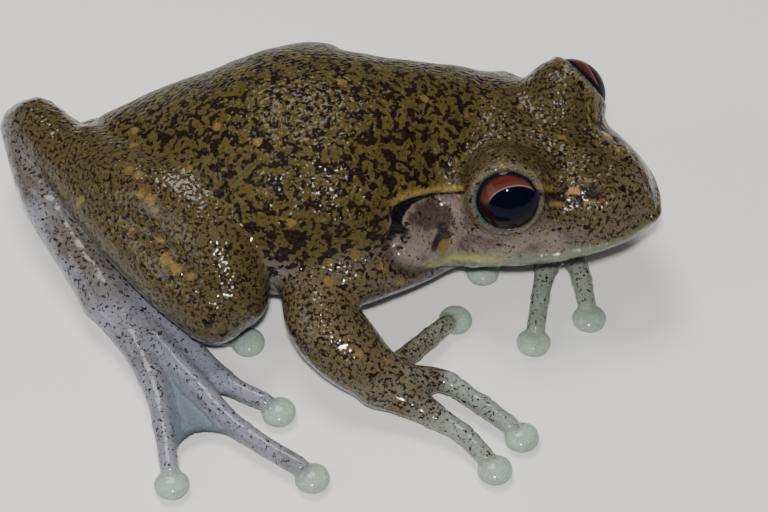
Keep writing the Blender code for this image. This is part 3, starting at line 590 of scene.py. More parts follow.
def net_surface(lines, value):
    """Quads over the grid cells that the zero surface crosses, each cell holding one vertex.

    The vertex is the mean of the places where the cell's edges cross zero, and each crossed edge of the grid
    is ringed by one quad, whose corners are the vertices of the four cells beside it.
    """
    shape = np.array(value.shape) - 1
    total = np.zeros((*shape, 3))
    count = np.zeros(shape)
    crossings = []
    for axis in range(3):
        first = np.moveaxis(value, axis, 0)[:-1]
        second = np.moveaxis(value, axis, 0)[1:]
        hit = (first < 0) != (second < 0)
        i, j, k = np.nonzero(hit)
        t = first[hit] / (first[hit] - second[hit])
        other = [a for a in range(3) if a != axis]
        point = np.empty((len(i), 3))
        point[:, axis] = lines[axis][i] * (1 - t) + lines[axis][i + 1] * t
        point[:, other[0]] = lines[other[0]][j]
        point[:, other[1]] = lines[other[1]][k]
        for cell in cells_beside(axis, other, i, j, k, np.ndindex(2, 2)):
            np.add.at(total, cell, point)
            np.add.at(count, cell, 1)
        crossings.append((axis, other, i, j, k, first[hit] < 0))
    used = count > 0
    number = np.full(shape, -1)
    number[used] = np.arange(used.sum())
    vertices = total[used] / count[used][:, None]
    quads = []
    for axis, other, i, j, k, inside in crossings:
        corners = ((0, 0), (1, 0), (1, 1), (0, 1))
        quad = np.stack([number[cell] for cell in cells_beside(axis, other, i, j, k, corners)], axis=1)
        turned = inside == (axis == 1)
        quad[turned] = quad[turned][:, ::-1]
        quads.append(quad)
    return vertices, np.concatenate(quads)


def keep_main_piece(vertices, quads):
    """Leaves out loose crumbs: each vertex takes the lowest number that it can reach."""
    label = np.arange(len(vertices))
    while True:
        low = label[quads].min(axis=1)
        new = label.copy()
        np.minimum.at(new, quads.ravel(), np.repeat(low, 4))
        new = new[new]
        if np.array_equal(new, label):
            break
        label = new
    main = np.bincount(label).argmax()
    keep = label == main
    number = np.cumsum(keep) - 1
    return vertices[keep], number[quads[keep[quads[:, 0]]]]


def draw_onto_surface(vertices, quads, rounds=3):
    """Evens out the vertices and moves each onto the surface.

    Each goes halfway to the mean of its neighbours, then along the slope of the distance by the distance
    over the slope's square. The last round only moves along the slope, and its slope gives the normal.
    """
    ends = np.concatenate([quads[:, [a, (a + 1) % 4]] for a in range(4)])
    degree = np.bincount(ends.ravel(), minlength=len(vertices))
    step = 0.02
    slope = np.zeros_like(vertices)
    for turn in range(rounds):
        mean = np.stack([np.bincount(ends[:, 0], vertices[ends[:, 1], a], len(vertices))
                         + np.bincount(ends[:, 1], vertices[ends[:, 0], a], len(vertices))
                         for a in range(3)], axis=1) / degree[:, None]
        if turn < rounds - 1:
            vertices = vertices * 0.5 + mean * 0.5
        value = skin_distance(vertices)
        for a in range(3):
            moved = vertices.copy()
            moved[:, a] += step
            slope[:, a] = (skin_distance(moved) - value) / step
        length = np.maximum((slope ** 2).sum(axis=1), 0.25)
        move = np.clip(value / length, -0.35, 0.35)
        vertices = vertices - slope * move[:, None]
    normal = slope / np.maximum(np.linalg.norm(slope, axis=1, keepdims=True), 1e-6)
    return vertices, normal


# The random values of the lumps repeat after this many cells
LUMP_CELLS = 32


def lumps(points, size, seed):
    """Smooth random lumps between -1 and 1: values at the corners of cells of a size, eased between them."""
    grid = np.random.default_rng(seed).uniform(-1, 1, (LUMP_CELLS, LUMP_CELLS, LUMP_CELLS))
    place = points / size + 400
    base = np.floor(place).astype(int)
    t = place - base
    t = t * t * (3 - 2 * t)
    value = 0
    for corner in np.ndindex(2, 2, 2):
        weight = np.where(corner, t, 1 - t).prod(axis=1)
        value = value + weight * grid[tuple(((base + corner) % LUMP_CELLS).T)]
    return value


def add_object(name, data):
    """An object that holds a mesh, a light or a camera, linked into the scene."""
    thing = bpy.data.objects.new(name, data)
    bpy.context.scene.collection.objects.link(thing)
    return thing


def add_mesh(name, vertices, faces):
    """A smooth-shaded object made of lists of vertices and faces."""
    mesh = bpy.data.meshes.new(name)
    mesh.from_pydata(vertices, [], faces)
    mesh.polygons.foreach_set("use_smooth", np.ones(len(mesh.polygons), bool))
    mesh.update()
    return add_object(name, mesh)


def add_attribute(thing, name, values):
    """A number or a vector for each vertex."""
    values = np.asarray(values, np.float32)
    kind = "FLOAT" if values.ndim == 1 else "FLOAT_VECTOR"
    layer = thing.data.attributes.new(name, kind, "POINT")
    layer.data.foreach_set("value" if values.ndim == 1 else "vector", values.ravel())


# From the frog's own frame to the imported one, found from where the right eye was packed
right_eye_box = np.array(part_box("right_eye"))
SHIFT = right_eye_box.mean(axis=0) / MM - eye_place(-1)[0]

LINE_STATIONS = 40        # on the path of each crease or line
DEGREE = 0.24             # millimetres over the cheek for each degree round from the lip


def path_distance(points, path):
    """Distance to a smooth path through a few places."""
    path = smooth_rows(path, LINE_STATIONS)
    _, offset = exact_place(points, coarse_place(points, path), path, 1)
    return np.linalg.norm(offset, axis=1)


def unrolled(points):
    """Where each point lies on the head as a flat map: forward, and up from the lip, in millimetres.

    Also gives how far out it lies, as a multiple of the head's own half width and height there.
    """
    u, v, w = head_coordinates(points)
    wide, top, _ = head_size(u)
    angle = np.degrees(np.arctan2(w / top, np.abs(v) / wide))
    return np.column_stack([u, angle * DEGREE, np.zeros(len(u))]), np.hypot(v / wide, w / top)


def map_line(flat, rows):
    """Offset across a line drawn on the flat map, above it below zero, and how far along it, 0 to 1."""
    path = smooth_rows([(u, angle * DEGREE, 0.0) for u, angle in rows], LINE_STATIONS)
    place, offset = exact_place(flat, coarse_place(flat, path), path, 1)
    way = at_place(place, np.gradient(path, axis=0))
    way /= np.linalg.norm(way, axis=1, keepdims=True)
    across = way[:, 0] * offset[:, 1] - way[:, 1] * offset[:, 0]
    return np.where(across < 0, -1, 1) * np.linalg.norm(offset, axis=1), place / (LINE_STATIONS - 1)


def map_spot(flat, u, angle, long, tall):
    """How deep inside an oval on the flat map: 0 at its middle and 1 on its edge."""
    return np.hypot((flat[:, 0] - u) / long, (flat[:, 1] - angle * DEGREE) / tall)


# The head ends at this many times its own half width and height; past it lies an arm
HEAD_EDGE = 1.5


def on_head(out):
    """1 on the head itself and 0 off it, so that an arm in front of it takes none of its marks."""
    return ease(out, HEAD_EDGE + 0.1, HEAD_EDGE - 0.1)


# Where the fold shows on the skin, from the eye back and down, and the cheek's edge on from its end
FOLD_LINE = [(-4.8, 46), (-7.7, 43), (-9.7, 41), (-11.9, 37), (-13.1, 31), (-13.2, 27), (-12.8, 23)]
CHEEK_EDGE = [(-12.8, 23), (-12.5, 18), (-11.3, 14), (-10.0, 9), (-8.8, 1), (-7.0, -9)]
# The line from the eye to the nostril
SNOUT_RIDGE = [(3.8, 60), (6.7, 66), (9.4, 68), (11.5, 64)]


def part_shares(points):
    """How much each kind of part owns each vertex.

    It is e to the power of minus the part's distance over half a millimetre, divided by the sum of all.
    """
    far = {kind: np.full(len(points), 9.0) for kind in PART_COLOURS}
    for name, form, way, _ in FORMS:
        if way == "cut":
            continue
        kind = [k for k in PART_COLOURS if k in name][-1]
        near = near_form(points, form, 3)
        if near.any():
            far[kind][near] = np.minimum(far[kind][near], form.distance(points[near]))
    share = {kind: np.exp(-np.clip(value, 0, 9) / 0.5) for kind, value in far.items()}
    total = sum(share.values())
    return {kind: value / total for kind, value in share.items()}


# How far along a digit its joints are
JOINT_PLACES = (0.5, 0.76)


def digit_relief(points):
    """Swollen joints with a fine crease just past each, and a ring-like fold where the disc begins."""
    relief = np.zeros(len(points))
    for name, form, _, _ in FORMS:
        if "digit" not in name:
            continue
        near = near_form(points, form, 1.5)
        place, offset = form.nearest(points[near])
        steps = np.linalg.norm(np.diff(form.centres, axis=0), axis=1)
        along = np.interp(place, np.arange(PATH_STATIONS), np.concatenate([[0], np.cumsum(steps)]))
        long = steps.sum()
        here = bell(np.linalg.norm(offset, axis=1) - at_place(place, form.sizes)[:, 0], 0.8)
        for part in JOINT_PLACES:
            past = along - part * long
            relief[near] += here * (0.16 * bell(past, 1.1) - 0.14 * bell(past - 0.5, 0.28))
        past = along - long
        relief[near] += here * (0.12 * bell(past - 0.55, 0.35) - 0.12 * bell(past - 0.05, 0.25))
    return relief


# Creases in the skin: places along each, how wide and how deep
CREASES = [
    ([(-14, -9, 27.2), (-6, -8.5, 27.3), (2, -7.5, 26.4), (8, -7.0, 24.5)], 0.7, 0.16),
    ([(-17, -24.8, 15), (-16, -23.6, 10), (-15.5, -21.0, 5.5)], 0.6, 0.3),
    ([(-6.5, -20.5, 6.5), (-1, -18.0, 6.2), (5, -14.5, 6.0)], 0.5, 0.25),
    ([(7.5, -14.5, 17.5), (9.0, -14.3, 13.5), (9.5, -13.0, 9.5)], 0.6, 0.25),
]
# Lumps over the body: height, size and seed
BODY_LUMPS = [(0.05, 1.15, 1), (0.07, 2.6, 2), (0.10, 6, 3)]


def skin_relief(points, share):
    """Height of the small relief over the smooth form, in millimetres."""
    to_eye = np.min([np.linalg.norm(points - eye_place(side)[0], axis=1) for side in (-1, 1)], axis=0)
    clear = ease(to_eye, 6.3, 7.6)
    body = share["torso"] + 0.6 * share["head"] + 0.5 * (share["thigh"] + share["shank"] + share["arm"])
    side = ease(points[:, 2], 19, 8) * share["torso"]
    relief = clear * body * sum(height * lumps(points, size, seed) for height, size, seed in BODY_LUMPS)
    relief += side * 0.10 * np.abs(lumps(points, 1.0, 4))
    rump = ease(points[:, 0], -38, -44)
    relief += rump * 0.12 * lumps(points, 1.0, 5)
    relief += clear * 0.07 * share["head"] * lumps(points, 1.4, 6)
    relief += 0.06 * (share["hand"] + share["foot"] + share["tarsus"]) * lumps(points, 1.3, 7)
    for path, width, depth in CREASES:
        relief -= depth * bell(path_distance(points, path), width)
    flat, out = unrolled(points)
    cheek = clear * on_head(out)
    fold, along = map_line(flat, FOLD_LINE)
    strong = ease(along, -0.1, 0.5)
    relief += cheek * strong * (0.45 * bell(fold + 0.8, 0.8) - 0.75 * bell(fold - 0.55, 0.6))
    edge, _ = map_line(flat, CHEEK_EDGE)
    relief += cheek * (0.30 * bell(edge - 1.3, 1.0) - 0.85 * bell(edge + 0.1, 0.55))
    ridge, _ = map_line(flat, SNOUT_RIDGE)
    relief += clear * share["head"] * (0.28 * bell(ridge, 0.8) - 0.25 * bell(ridge - 2.6, 1.6))
    relief += digit_relief(points)
    return relief * ease(points[:, 2], 0.15, 0.8)


def make_skin():
    """The netted skin with its relief, stretched by a hair so that its box is that of the solids."""
    lines = [grid_lines(stops) for stops in (GRID_X, GRID_Y, GRID_Z)]
    vertices, quads = net_surface(lines, sample_grid(*lines))
    vertices, quads = keep_main_piece(vertices, quads)
    vertices, normal = draw_onto_surface(vertices, quads)
    share = part_shares(vertices)
    shown = vertices + normal * skin_relief(vertices, share)[:, None]
    placed = (shown + SHIFT) * MM
    low, high = placed.min(axis=0), placed.max(axis=0)
    cad_low, cad_high = np.array(cad_bounds[0]), np.array(cad_bounds[1])
    placed = cad_low + (placed - low) / (high - low) * (cad_high - cad_low)
    skin = add_mesh("skin", placed.tolist(), quads.tolist())
    return skin, vertices, normal, share


class Coat:
    """The colour of each vertex, and how far the noise marks are held back there."""

    def __init__(self, colour):
        self.colour = colour
        self.clean = np.zeros(len(colour))

    def lay(self, tone, amount):
        """Moves the colour towards a tone by an amount between 0 and 1."""
        self.colour = self.colour + (np.asarray(tone) - self.colour) * np.clip(amount, 0, 1)[:, None]

    def hold_back(self, amount):
        """Keeps the marks off by this amount at least."""
        self.clean = np.maximum(self.clean, amount)


OLIVE = (0.064, 0.048, 0.014)
HEAD_OLIVE = (0.056, 0.043, 0.017)
SNOUT_BROWN = (0.090, 0.070, 0.042)
LEG_BROWN = (0.066, 0.049, 0.020)
ARM_BROWN = (0.086, 0.065, 0.034)
FLANK_LILAC = (0.165, 0.145, 0.150)
BELLY_BLUE = (0.230, 0.280, 0.300)
LILAC = (0.170, 0.165, 0.215)
FOOT_LILAC = (0.185, 0.190, 0.230)
FINGER_GREEN = (0.180, 0.205, 0.180)
DISC_PALE = (0.270, 0.345, 0.290)
LIP_GREEN = (0.125, 0.158, 0.108)
LIP_YELLOW = (0.220, 0.205, 0.085)
JAW_TURQUOISE = (0.190, 0.260, 0.235)
CHEEK_LILAC = (0.165, 0.132, 0.120)
WEB_BLUE = (0.070, 0.095, 0.115)
FOLD_YELLOW = (0.215, 0.155, 0.048)
# Near black for dark patches on the head, and for painted shade in the nostril, the cheek's edge groove and
# inside the lids
MARK_AND_SHADE_DARK = (0.010, 0.006, 0.009)
DRUM_BROWN = (0.040, 0.022, 0.021)
OCHRE = (0.145, 0.098, 0.030)
ORANGE_BEIGE = (0.270, 0.170, 0.072)
RUST_SPOT = (0.150, 0.055, 0.026)
LID_GREY = (0.150, 0.135, 0.115)
LID_TURQUOISE = (0.045, 0.085, 0.075)

# Ground colour of each kind of part
PART_COLOURS = {
    "torso": OLIVE, "head": HEAD_OLIVE, "thigh": LEG_BROWN, "shank": LEG_BROWN, "tarsus": FOOT_LILAC,
    "arm": ARM_BROWN, "hand": FINGER_GREEN, "foot": FOOT_LILAC, "web": WEB_BLUE, "disc": DISC_PALE,
}
# Single spots on the head: forward, degrees up from the lip, half length, half height and colour
HEAD_SPOTS = [
    (7.3, 57, 0.75, 0.70, ORANGE_BEIGE), (5.9, 46, 0.75, 0.50, OCHRE), (9.6, 50, 0.70, 0.45, OCHRE),
    (4.7, 55, 0.55, 0.45, OCHRE), (10.8, 52, 0.50, 0.35, RUST_SPOT), (-8.0, 13, 0.62, 0.72, OCHRE),
    (-6.1, 40, 0.48, 0.40, OCHRE), (-1.5, -4, 0.55, 0.40, LIP_YELLOW), (-10.0, 100, 1.1, 0.8, RUST_SPOT),
]
# Dark patches among them, given the same way
HEAD_SHADOWS = [(5.3, 50, 1.6, 1.2), (9.2, 55, 1.7, 1.3), (7.2, 47, 1.5, 0.7), (-8.3, 18, 0.9, 1.7)]
# How wide the band of painted shadow under the fold is behind the eye, and how much wider at its other end
FOLD_SHADOW_WIDTH = 0.30
FOLD_SHADOW_GROWTH = 1.35


def paint_head(coat, points, share):
    """Fold, eardrum, cheek, lips, lids, spots and painted shade; gives the depth in the painted shadow under
    the fold.
    """
    flat, out = unrolled(points)
    wobble = 0.35 * lumps(points, 1.1, 21)
    u, up = flat[:, 0], flat[:, 1] / DEGREE
    coat.lay(SNOUT_BROWN, 0.8 * share["head"] * ease(u - 0.06 * up, 3, 10))
    fold, along = map_line(flat, FOLD_LINE)
    edge, _ = map_line(flat, CHEEK_EDGE)
    near_head = on_head(out)
    inside = ease(edge, -0.35, 0.25) * near_head * ease(u, -14.5, -13.2)
    head = np.where(u < -3, inside, ease(share["head"], 0.2, 0.5))
    behind_eye = ease(u, -3.0, -5.5) * ease(fold, 0.1, 0.5)
    below_eye = ease(up + 10 * wobble, 36, 20) * ease(u, 12, 5)
    cheek = head * np.maximum(behind_eye, below_eye)
    coat.lay(CHEEK_LILAC, 0.92 * cheek)
    coat.lay(DRUM_BROWN, 0.55 * cheek * ease(lumps(points, 1.5, 23), 0.05, 0.55))
    coat.hold_back(0.55 * cheek)
    drum = map_spot(flat, TYMPANUM_U - 0.2, TYMPANUM_ANGLE + 1, 2.3, 2.1) + wobble
    coat.lay(DRUM_BROWN, 0.9 * head * ease(drum, 1.15, 0.8))
    for forward, angle, long, tall in HEAD_SHADOWS:
        near = map_spot(flat, forward, angle, long, tall) + 1.5 * wobble
        coat.lay(MARK_AND_SHADE_DARK, 0.92 * head * ease(near, 1.1, 0.8))
    green = ease(up + 5 * wobble, 12, 4) * ease(up, -4, -1) * ease(u, -11, -6)
    coat.lay(LIP_GREEN, 0.8 * head * green)
    lip_line = head * bell(up - 5.0 - 2 * wobble, 2.6) * ease(u, 2, -4)
    coat.lay(LIP_YELLOW, 0.85 * lip_line)
    coat.hold_back(head * ease(up, 12, 5))
    for forward, angle, long, tall, tone in HEAD_SPOTS:
        near = map_spot(flat, forward, angle, long, tall) + 0.6 * wobble
        here = near_head * ease(near, 1.15, 0.85)
        coat.lay(tone, 0.95 * here)
        coat.hold_back(here)
    # Painted shade in the nostril's hole
    pit = map_spot(flat, NOSTRIL_U, NOSTRIL_ANGLE, 0.6, 0.5)
    coat.lay(MARK_AND_SHADE_DARK, ease(share["head"], 0.2, 0.5) * ease(pit, 1.15, 0.8))
    # Band of painted shadow under the overhanging fold, widening towards its far end
    width = FOLD_SHADOW_WIDTH + FOLD_SHADOW_GROWTH * ease(along, 0.30, 0.92)
    depth = np.minimum(np.minimum(fold + 0.02, width - fold), np.minimum(along, 1 - along) * 14)
    depth = np.where(out < HEAD_EDGE, np.clip(depth, -1, 1), -1)
    fold_shadow = ease(depth, -0.2, 0.2)
    line = near_head * bell(fold + 0.40, 0.38) * ease(along, 0.97, 0.6) * ease(along, -0.01, 0.03)
    coat.lay(FOLD_YELLOW, 0.95 * line)
    ridge = ease(share["head"], 0.3, 0.6) * bell(map_line(flat, SNOUT_RIDGE)[0], 0.32)
    coat.lay(FOLD_YELLOW, 0.5 * ridge)
    coat.hold_back(np.maximum(fold_shadow, line))
    # Painted shadow in the groove between the cheek's lower edge and the arm
    coat.lay(MARK_AND_SHADE_DARK, 0.8 * near_head * bell(edge + 0.1, 0.40))
    for side in (-1, 1):
        eye, axis = eye_place(side)
        away = points - eye
        ahead = away @ axis
        ring = np.sqrt(np.maximum((away * away).sum(axis=1) - ahead * ahead, 0))
        lid = bell(np.hypot(ring - LID_RING_RADIUS, ahead - LID_OUT) - 0.3, 0.42)
        coat.lay(LID_GREY, 0.75 * lid)
        back = ease((away @ HEAD_FORWARD) + 0.5 * (away @ HEAD_UP), 1.5, -2.5)
        inner = ease(ahead, 0.6, 1.6) * ease(ring, 4.5, 4.1)
        coat.lay(LID_TURQUOISE, inner * back)
        # Painted shade in the gap between the lid and the eyeball, at its front and top
        coat.lay(MARK_AND_SHADE_DARK, 0.8 * inner * (1 - back))
        coat.hold_back(np.maximum(0.75 * lid, inner))
    return depth


# Single spots on the legs and the right arm: x, y, z, radius
LEG_SPOTS = [
    (-34.1, -16.6, 19.4, 0.7), (-31.8, -20.2, 19.1, 0.65), (-30.2, -21.0, 19.2, 0.9),
    (-28.2, -24.9, 16.1, 0.5), (-26.8, -27.2, 15.3, 0.8), (-25.3, -28.1, 15.0, 0.8),
    (-23.3, -28.9, 14.6, 0.6), (-0.1, -33.1, 9.3, 0.6), (3.5, -32.0, 7.2, 0.5),
    (-5.8, -23.2, 14.6, 0.5),
]
# Height over the mouth given to all skin behind the head and off it, so that the mouth's line ends there
FAR_OFF = 50.0


def paint_skin(skin, points, normal, share):
    """Broad colour of each vertex, and how strong the dark marks, fine specks and wet gloss are there."""
    u, _, w = head_coordinates(points)
    down = ease(normal[:, 2], 0.15, -0.65)
    coat = Coat(sum(share[kind][:, None] * np.asarray(tone) for kind, tone in PART_COLOURS.items()))
    body = share["torso"]
    flank = ease(points[:, 2] + 1.5 * lumps(points, 4, 11), 16.5, 11) * body
    low = ease(points[:, 2] + 1.2 * lumps(points, 3, 12), 9, 5) * body
    coat.lay(FLANK_LILAC, 0.8 * flank)
    coat.lay(BELLY_BLUE, low)
    limb = share["thigh"] + share["shank"] + share["arm"]
    coat.lay(LILAC, 0.9 * limb * down)
    over = share["tarsus"] * ease(normal[:, 2] + 0.5 * lumps(points, 3, 13), 0.1, 0.8)
    coat.lay(LEG_BROWN, 0.7 * over)
    ray = share["foot"] * ease(lumps(points, 2.2, 24), 0.1, 0.7)
    coat.lay(LEG_BROWN, 0.35 * ray)
    wrist = ease(points[:, 0] + 3.0 * lumps(points, 2, 14), 13, 5) * ease(points[:, 1], -10, -20)
    coat.lay(ARM_BROWN, share["hand"] * wrist)
    jaw = share["head"] * ease(w, 0.1, -0.5)
    coat.lay(JAW_TURQUOISE, jaw)
    coat.lay(BELLY_BLUE, jaw * ease(w, -2.5, -4.5))
    marks = body + 0.45 * share["head"] + 0.3 * (share["thigh"] + share["shank"]) + 0.35 * share["arm"]
    marks += 0.3 * share["head"] * ease(u, -4, -14)
    marks *= 1 - 0.8 * low - 0.25 * flank - 0.9 * jaw
    specks = share["head"] + limb + 0.8 * share["tarsus"]
    specks += 0.72 * share["foot"] + 0.7 * share["hand"] * (1 + wrist) + 0.7 * body
    specks *= (1 - jaw) * (1 - 0.55 * down) * (1 - 0.7 * low)
    fold_shadow = paint_head(coat, points, share)
    for x, y, z, radius in LEG_SPOTS:
        far = np.linalg.norm(points - (x, y, z), axis=1) / radius + 0.35 * lumps(points, 0.9, 22)
        here = ease(far, 1.15, 0.85)
        coat.lay(OCHRE, 0.9 * here)
        coat.hold_back(here)
    clean = np.clip(coat.clean, 0, 1)
    marks *= 1 - clean
    specks *= 1 - 0.8 * clean
    add_attribute(skin, "tone", coat.colour)
    # Depth in the painted shadow under the fold, for the shader
    add_attribute(skin, "fold_shadow", fold_shadow)
    add_attribute(skin, "marks", np.clip(marks, 0, 1))
    add_attribute(skin, "specks", np.clip(specks, 0, 1))
    add_attribute(skin, "mouth", np.where((share["head"] > 0.3) & (u > -13), w, FAR_OFF))
    dry = 0.5 * body + 0.7 * share["web"] + 0.1 * share["thigh"]
    dry += 0.4 * share["head"] * ease(normal[:, 2], 0.55, 0.95)
    add_attribute(skin, "wet", np.clip(0.85 - dry, 0, 1))
    add_attribute(skin, "rough_hide", np.clip(body + 0.9 * share["head"] + 0.6 * limb, 0.1, 1))


# Rings of vertices on an eye between its two poles, and vertices in a ring
EYE_RINGS = 64
EYE_SPOKES = 96


def make_eye(side, name):
    """A ball in rings round the way it looks: a is the angle from that way and b the angle round it.

    Each point is the centre plus the radius times (sin a cos b, sin a sin b, cos a) in the eye's directions.
    """
    centre, axis = eye_place(side)
    across = np.cross(HEAD_UP, axis)
    across /= np.linalg.norm(across)
    over = np.cross(axis, across)
    tilt = np.linspace(0, math.pi, EYE_RINGS + 2)[1:-1]
    turn = np.linspace(0, 2 * math.pi, EYE_SPOKES, endpoint=False)
    a, b = np.meshgrid(tilt, turn, indexing="ij")
    look = np.stack([np.sin(a) * np.cos(b), np.sin(a) * np.sin(b), np.cos(a)], axis=-1).reshape(-1, 3)
    look = np.concatenate([look, [(0, 0, 1), (0, 0, -1)]])
    points = centre + EYE_RADIUS * (look @ np.stack([across, over, axis]))
    rows = np.arange(EYE_RINGS * EYE_SPOKES).reshape(EYE_RINGS, EYE_SPOKES)
    beside = np.roll(rows, -1, axis=1)
    quads = np.stack([rows[:-1], rows[1:], beside[1:], beside[:-1]], axis=-1).reshape(-1, 4)
    front, back = np.full(EYE_SPOKES, len(look) - 2), np.full(EYE_SPOKES, len(look) - 1)
    caps = np.concatenate([
        np.stack([front, rows[0], beside[0]], axis=-1),
        np.stack([back, beside[-1], rows[-1]], axis=-1)])
    eye = add_mesh(name, ((points + SHIFT) * MM).tolist(), quads.tolist() + caps.tolist())
    add_attribute(eye, "look", look * (-side, 1, 1))
    return eye


class Shading:
    """Adds nodes to a material and joins them; a number or colour goes straight into its socket."""

    def __init__(self, name):
        self.material = bpy.data.materials.new(name)
        self.material.use_nodes = True
        self.tree = self.material.node_tree
        self.shader = self.tree.nodes["Principled BSDF"]

    def put(self, socket, value):
        if isinstance(value, bpy.types.NodeSocket):
            self.tree.links.new(value, socket)
        else:
            socket.default_value = value

    def node(self, kind, values=(), output=0, **settings):
        """A new node with these socket values and settings; gives one of its outputs."""
        made = self.tree.nodes.new(kind)
        for key, value in settings.items():
            setattr(made, key, value)
        for key, value in dict(values).items():
            self.put(made.inputs[key], value)
        return made.outputs[output]

    def finish(self, **values):
        """Sets the shader's sockets; an underscore stands for a space in a socket's name."""
        for key, value in values.items():
            self.put(self.shader.inputs[key.replace("_", " ")], value)

    def attribute(self, name, output="Fac"):
        return self.node("ShaderNodeAttribute", output=output, attribute_name=name)

    def place(self):
        """Place in millimetres in the model's own space."""
        at = self.node("ShaderNodeTexCoord", output="Object")
        return self.node("ShaderNodeVectorMath", {0: at, 1: (1000, 1000, 1000)}, operation="MULTIPLY")

    def noise(self, at, scale, detail=2.0, rough=0.5, distortion=0.0, output="Fac"):
        return self.node("ShaderNodeTexNoise", {"Vector": at, "Scale": scale, "Detail": detail,
                                                "Roughness": rough, "Distortion": distortion}, output)

    def cells(self, at, scale, output="Distance", **settings):
        return self.node("ShaderNodeTexVoronoi", {"Vector": at, "Scale": scale}, output, **settings)

    def ease(self, value, low, high, bottom=0.0, top=1.0):
        """Rises smoothly from bottom at low to top at high."""
        values = {"Value": value, "From Min": low, "From Max": high, "To Min": bottom, "To Max": top}
        return self.node("ShaderNodeMapRange", values, interpolation_type="SMOOTHSTEP")

    def math(self, operation, a, b=0.0):
        return self.node("ShaderNodeMath", {0: a, 1: b}, operation=operation)

    def times(self, first, *others):
        """Product of two or more values."""
        for other in others:
            first = self.math("MULTIPLY", first, other)
        return first

    def minus(self, a, b):
        return self.math("SUBTRACT", a, b)

    def length(self, a, b):
        """Root of the sum of two squares."""
        return self.math("SQRT", self.math("ADD", self.times(a, a), self.times(b, b)))

    def mix(self, amount, a, b, blend="MIX"):
        return self.node("ShaderNodeMix", {0: amount, 6: a, 7: b}, 2, data_type="RGBA", blend_type=blend)

    def bump(self, height, strength, distance):
        return self.node("ShaderNodeBump", {"Height": height, "Strength": strength, "Distance": distance})


NEARLY_BLACK = (0.003, 0.0015, 0.002, 1)
DARK_BROWN = (0.016, 0.006, 0.005, 1)
# Painted shadow under the fold behind the eye
FOLD_SHADOW_BLACK = (0.006, 0.004, 0.007, 1)
# Painted shade in the slit of the mouth
MOUTH_SLIT_SHADE = (0.008, 0.006, 0.006, 1)
# The tone is multiplied by these where it is darker or lighter
SHADED = (0.55, 0.5, 0.5, 1)
LIGHTENED = (1.55, 1.5, 1.4, 1)
# Dark patches show where noise is over this level; it sinks by up to the next number for marks and
# the one after it for specks
PATCH_LEVEL = 0.70
MARKS_SINK = 0.188
SPECKS_SINK = 0.176
# Cells per millimetre of the scattered spots and of the granules
SPOT_SCALE = 0.34
GRANULE_SCALE = 1.7
# How ragged the edge of the painted shadow under the fold is
FOLD_SHADOW_RAGGEDNESS = 0.35


def dark_patches(s, noise, strength, sink, low, high):
    """1 where noise is over the level and 0 elsewhere, fading out where the strength is near 0."""
    over = s.minus(noise, s.minus(PATCH_LEVEL, s.times(strength, sink)))
    return s.times(s.ease(over, low, high), s.ease(strength, 0.05, 0.3))


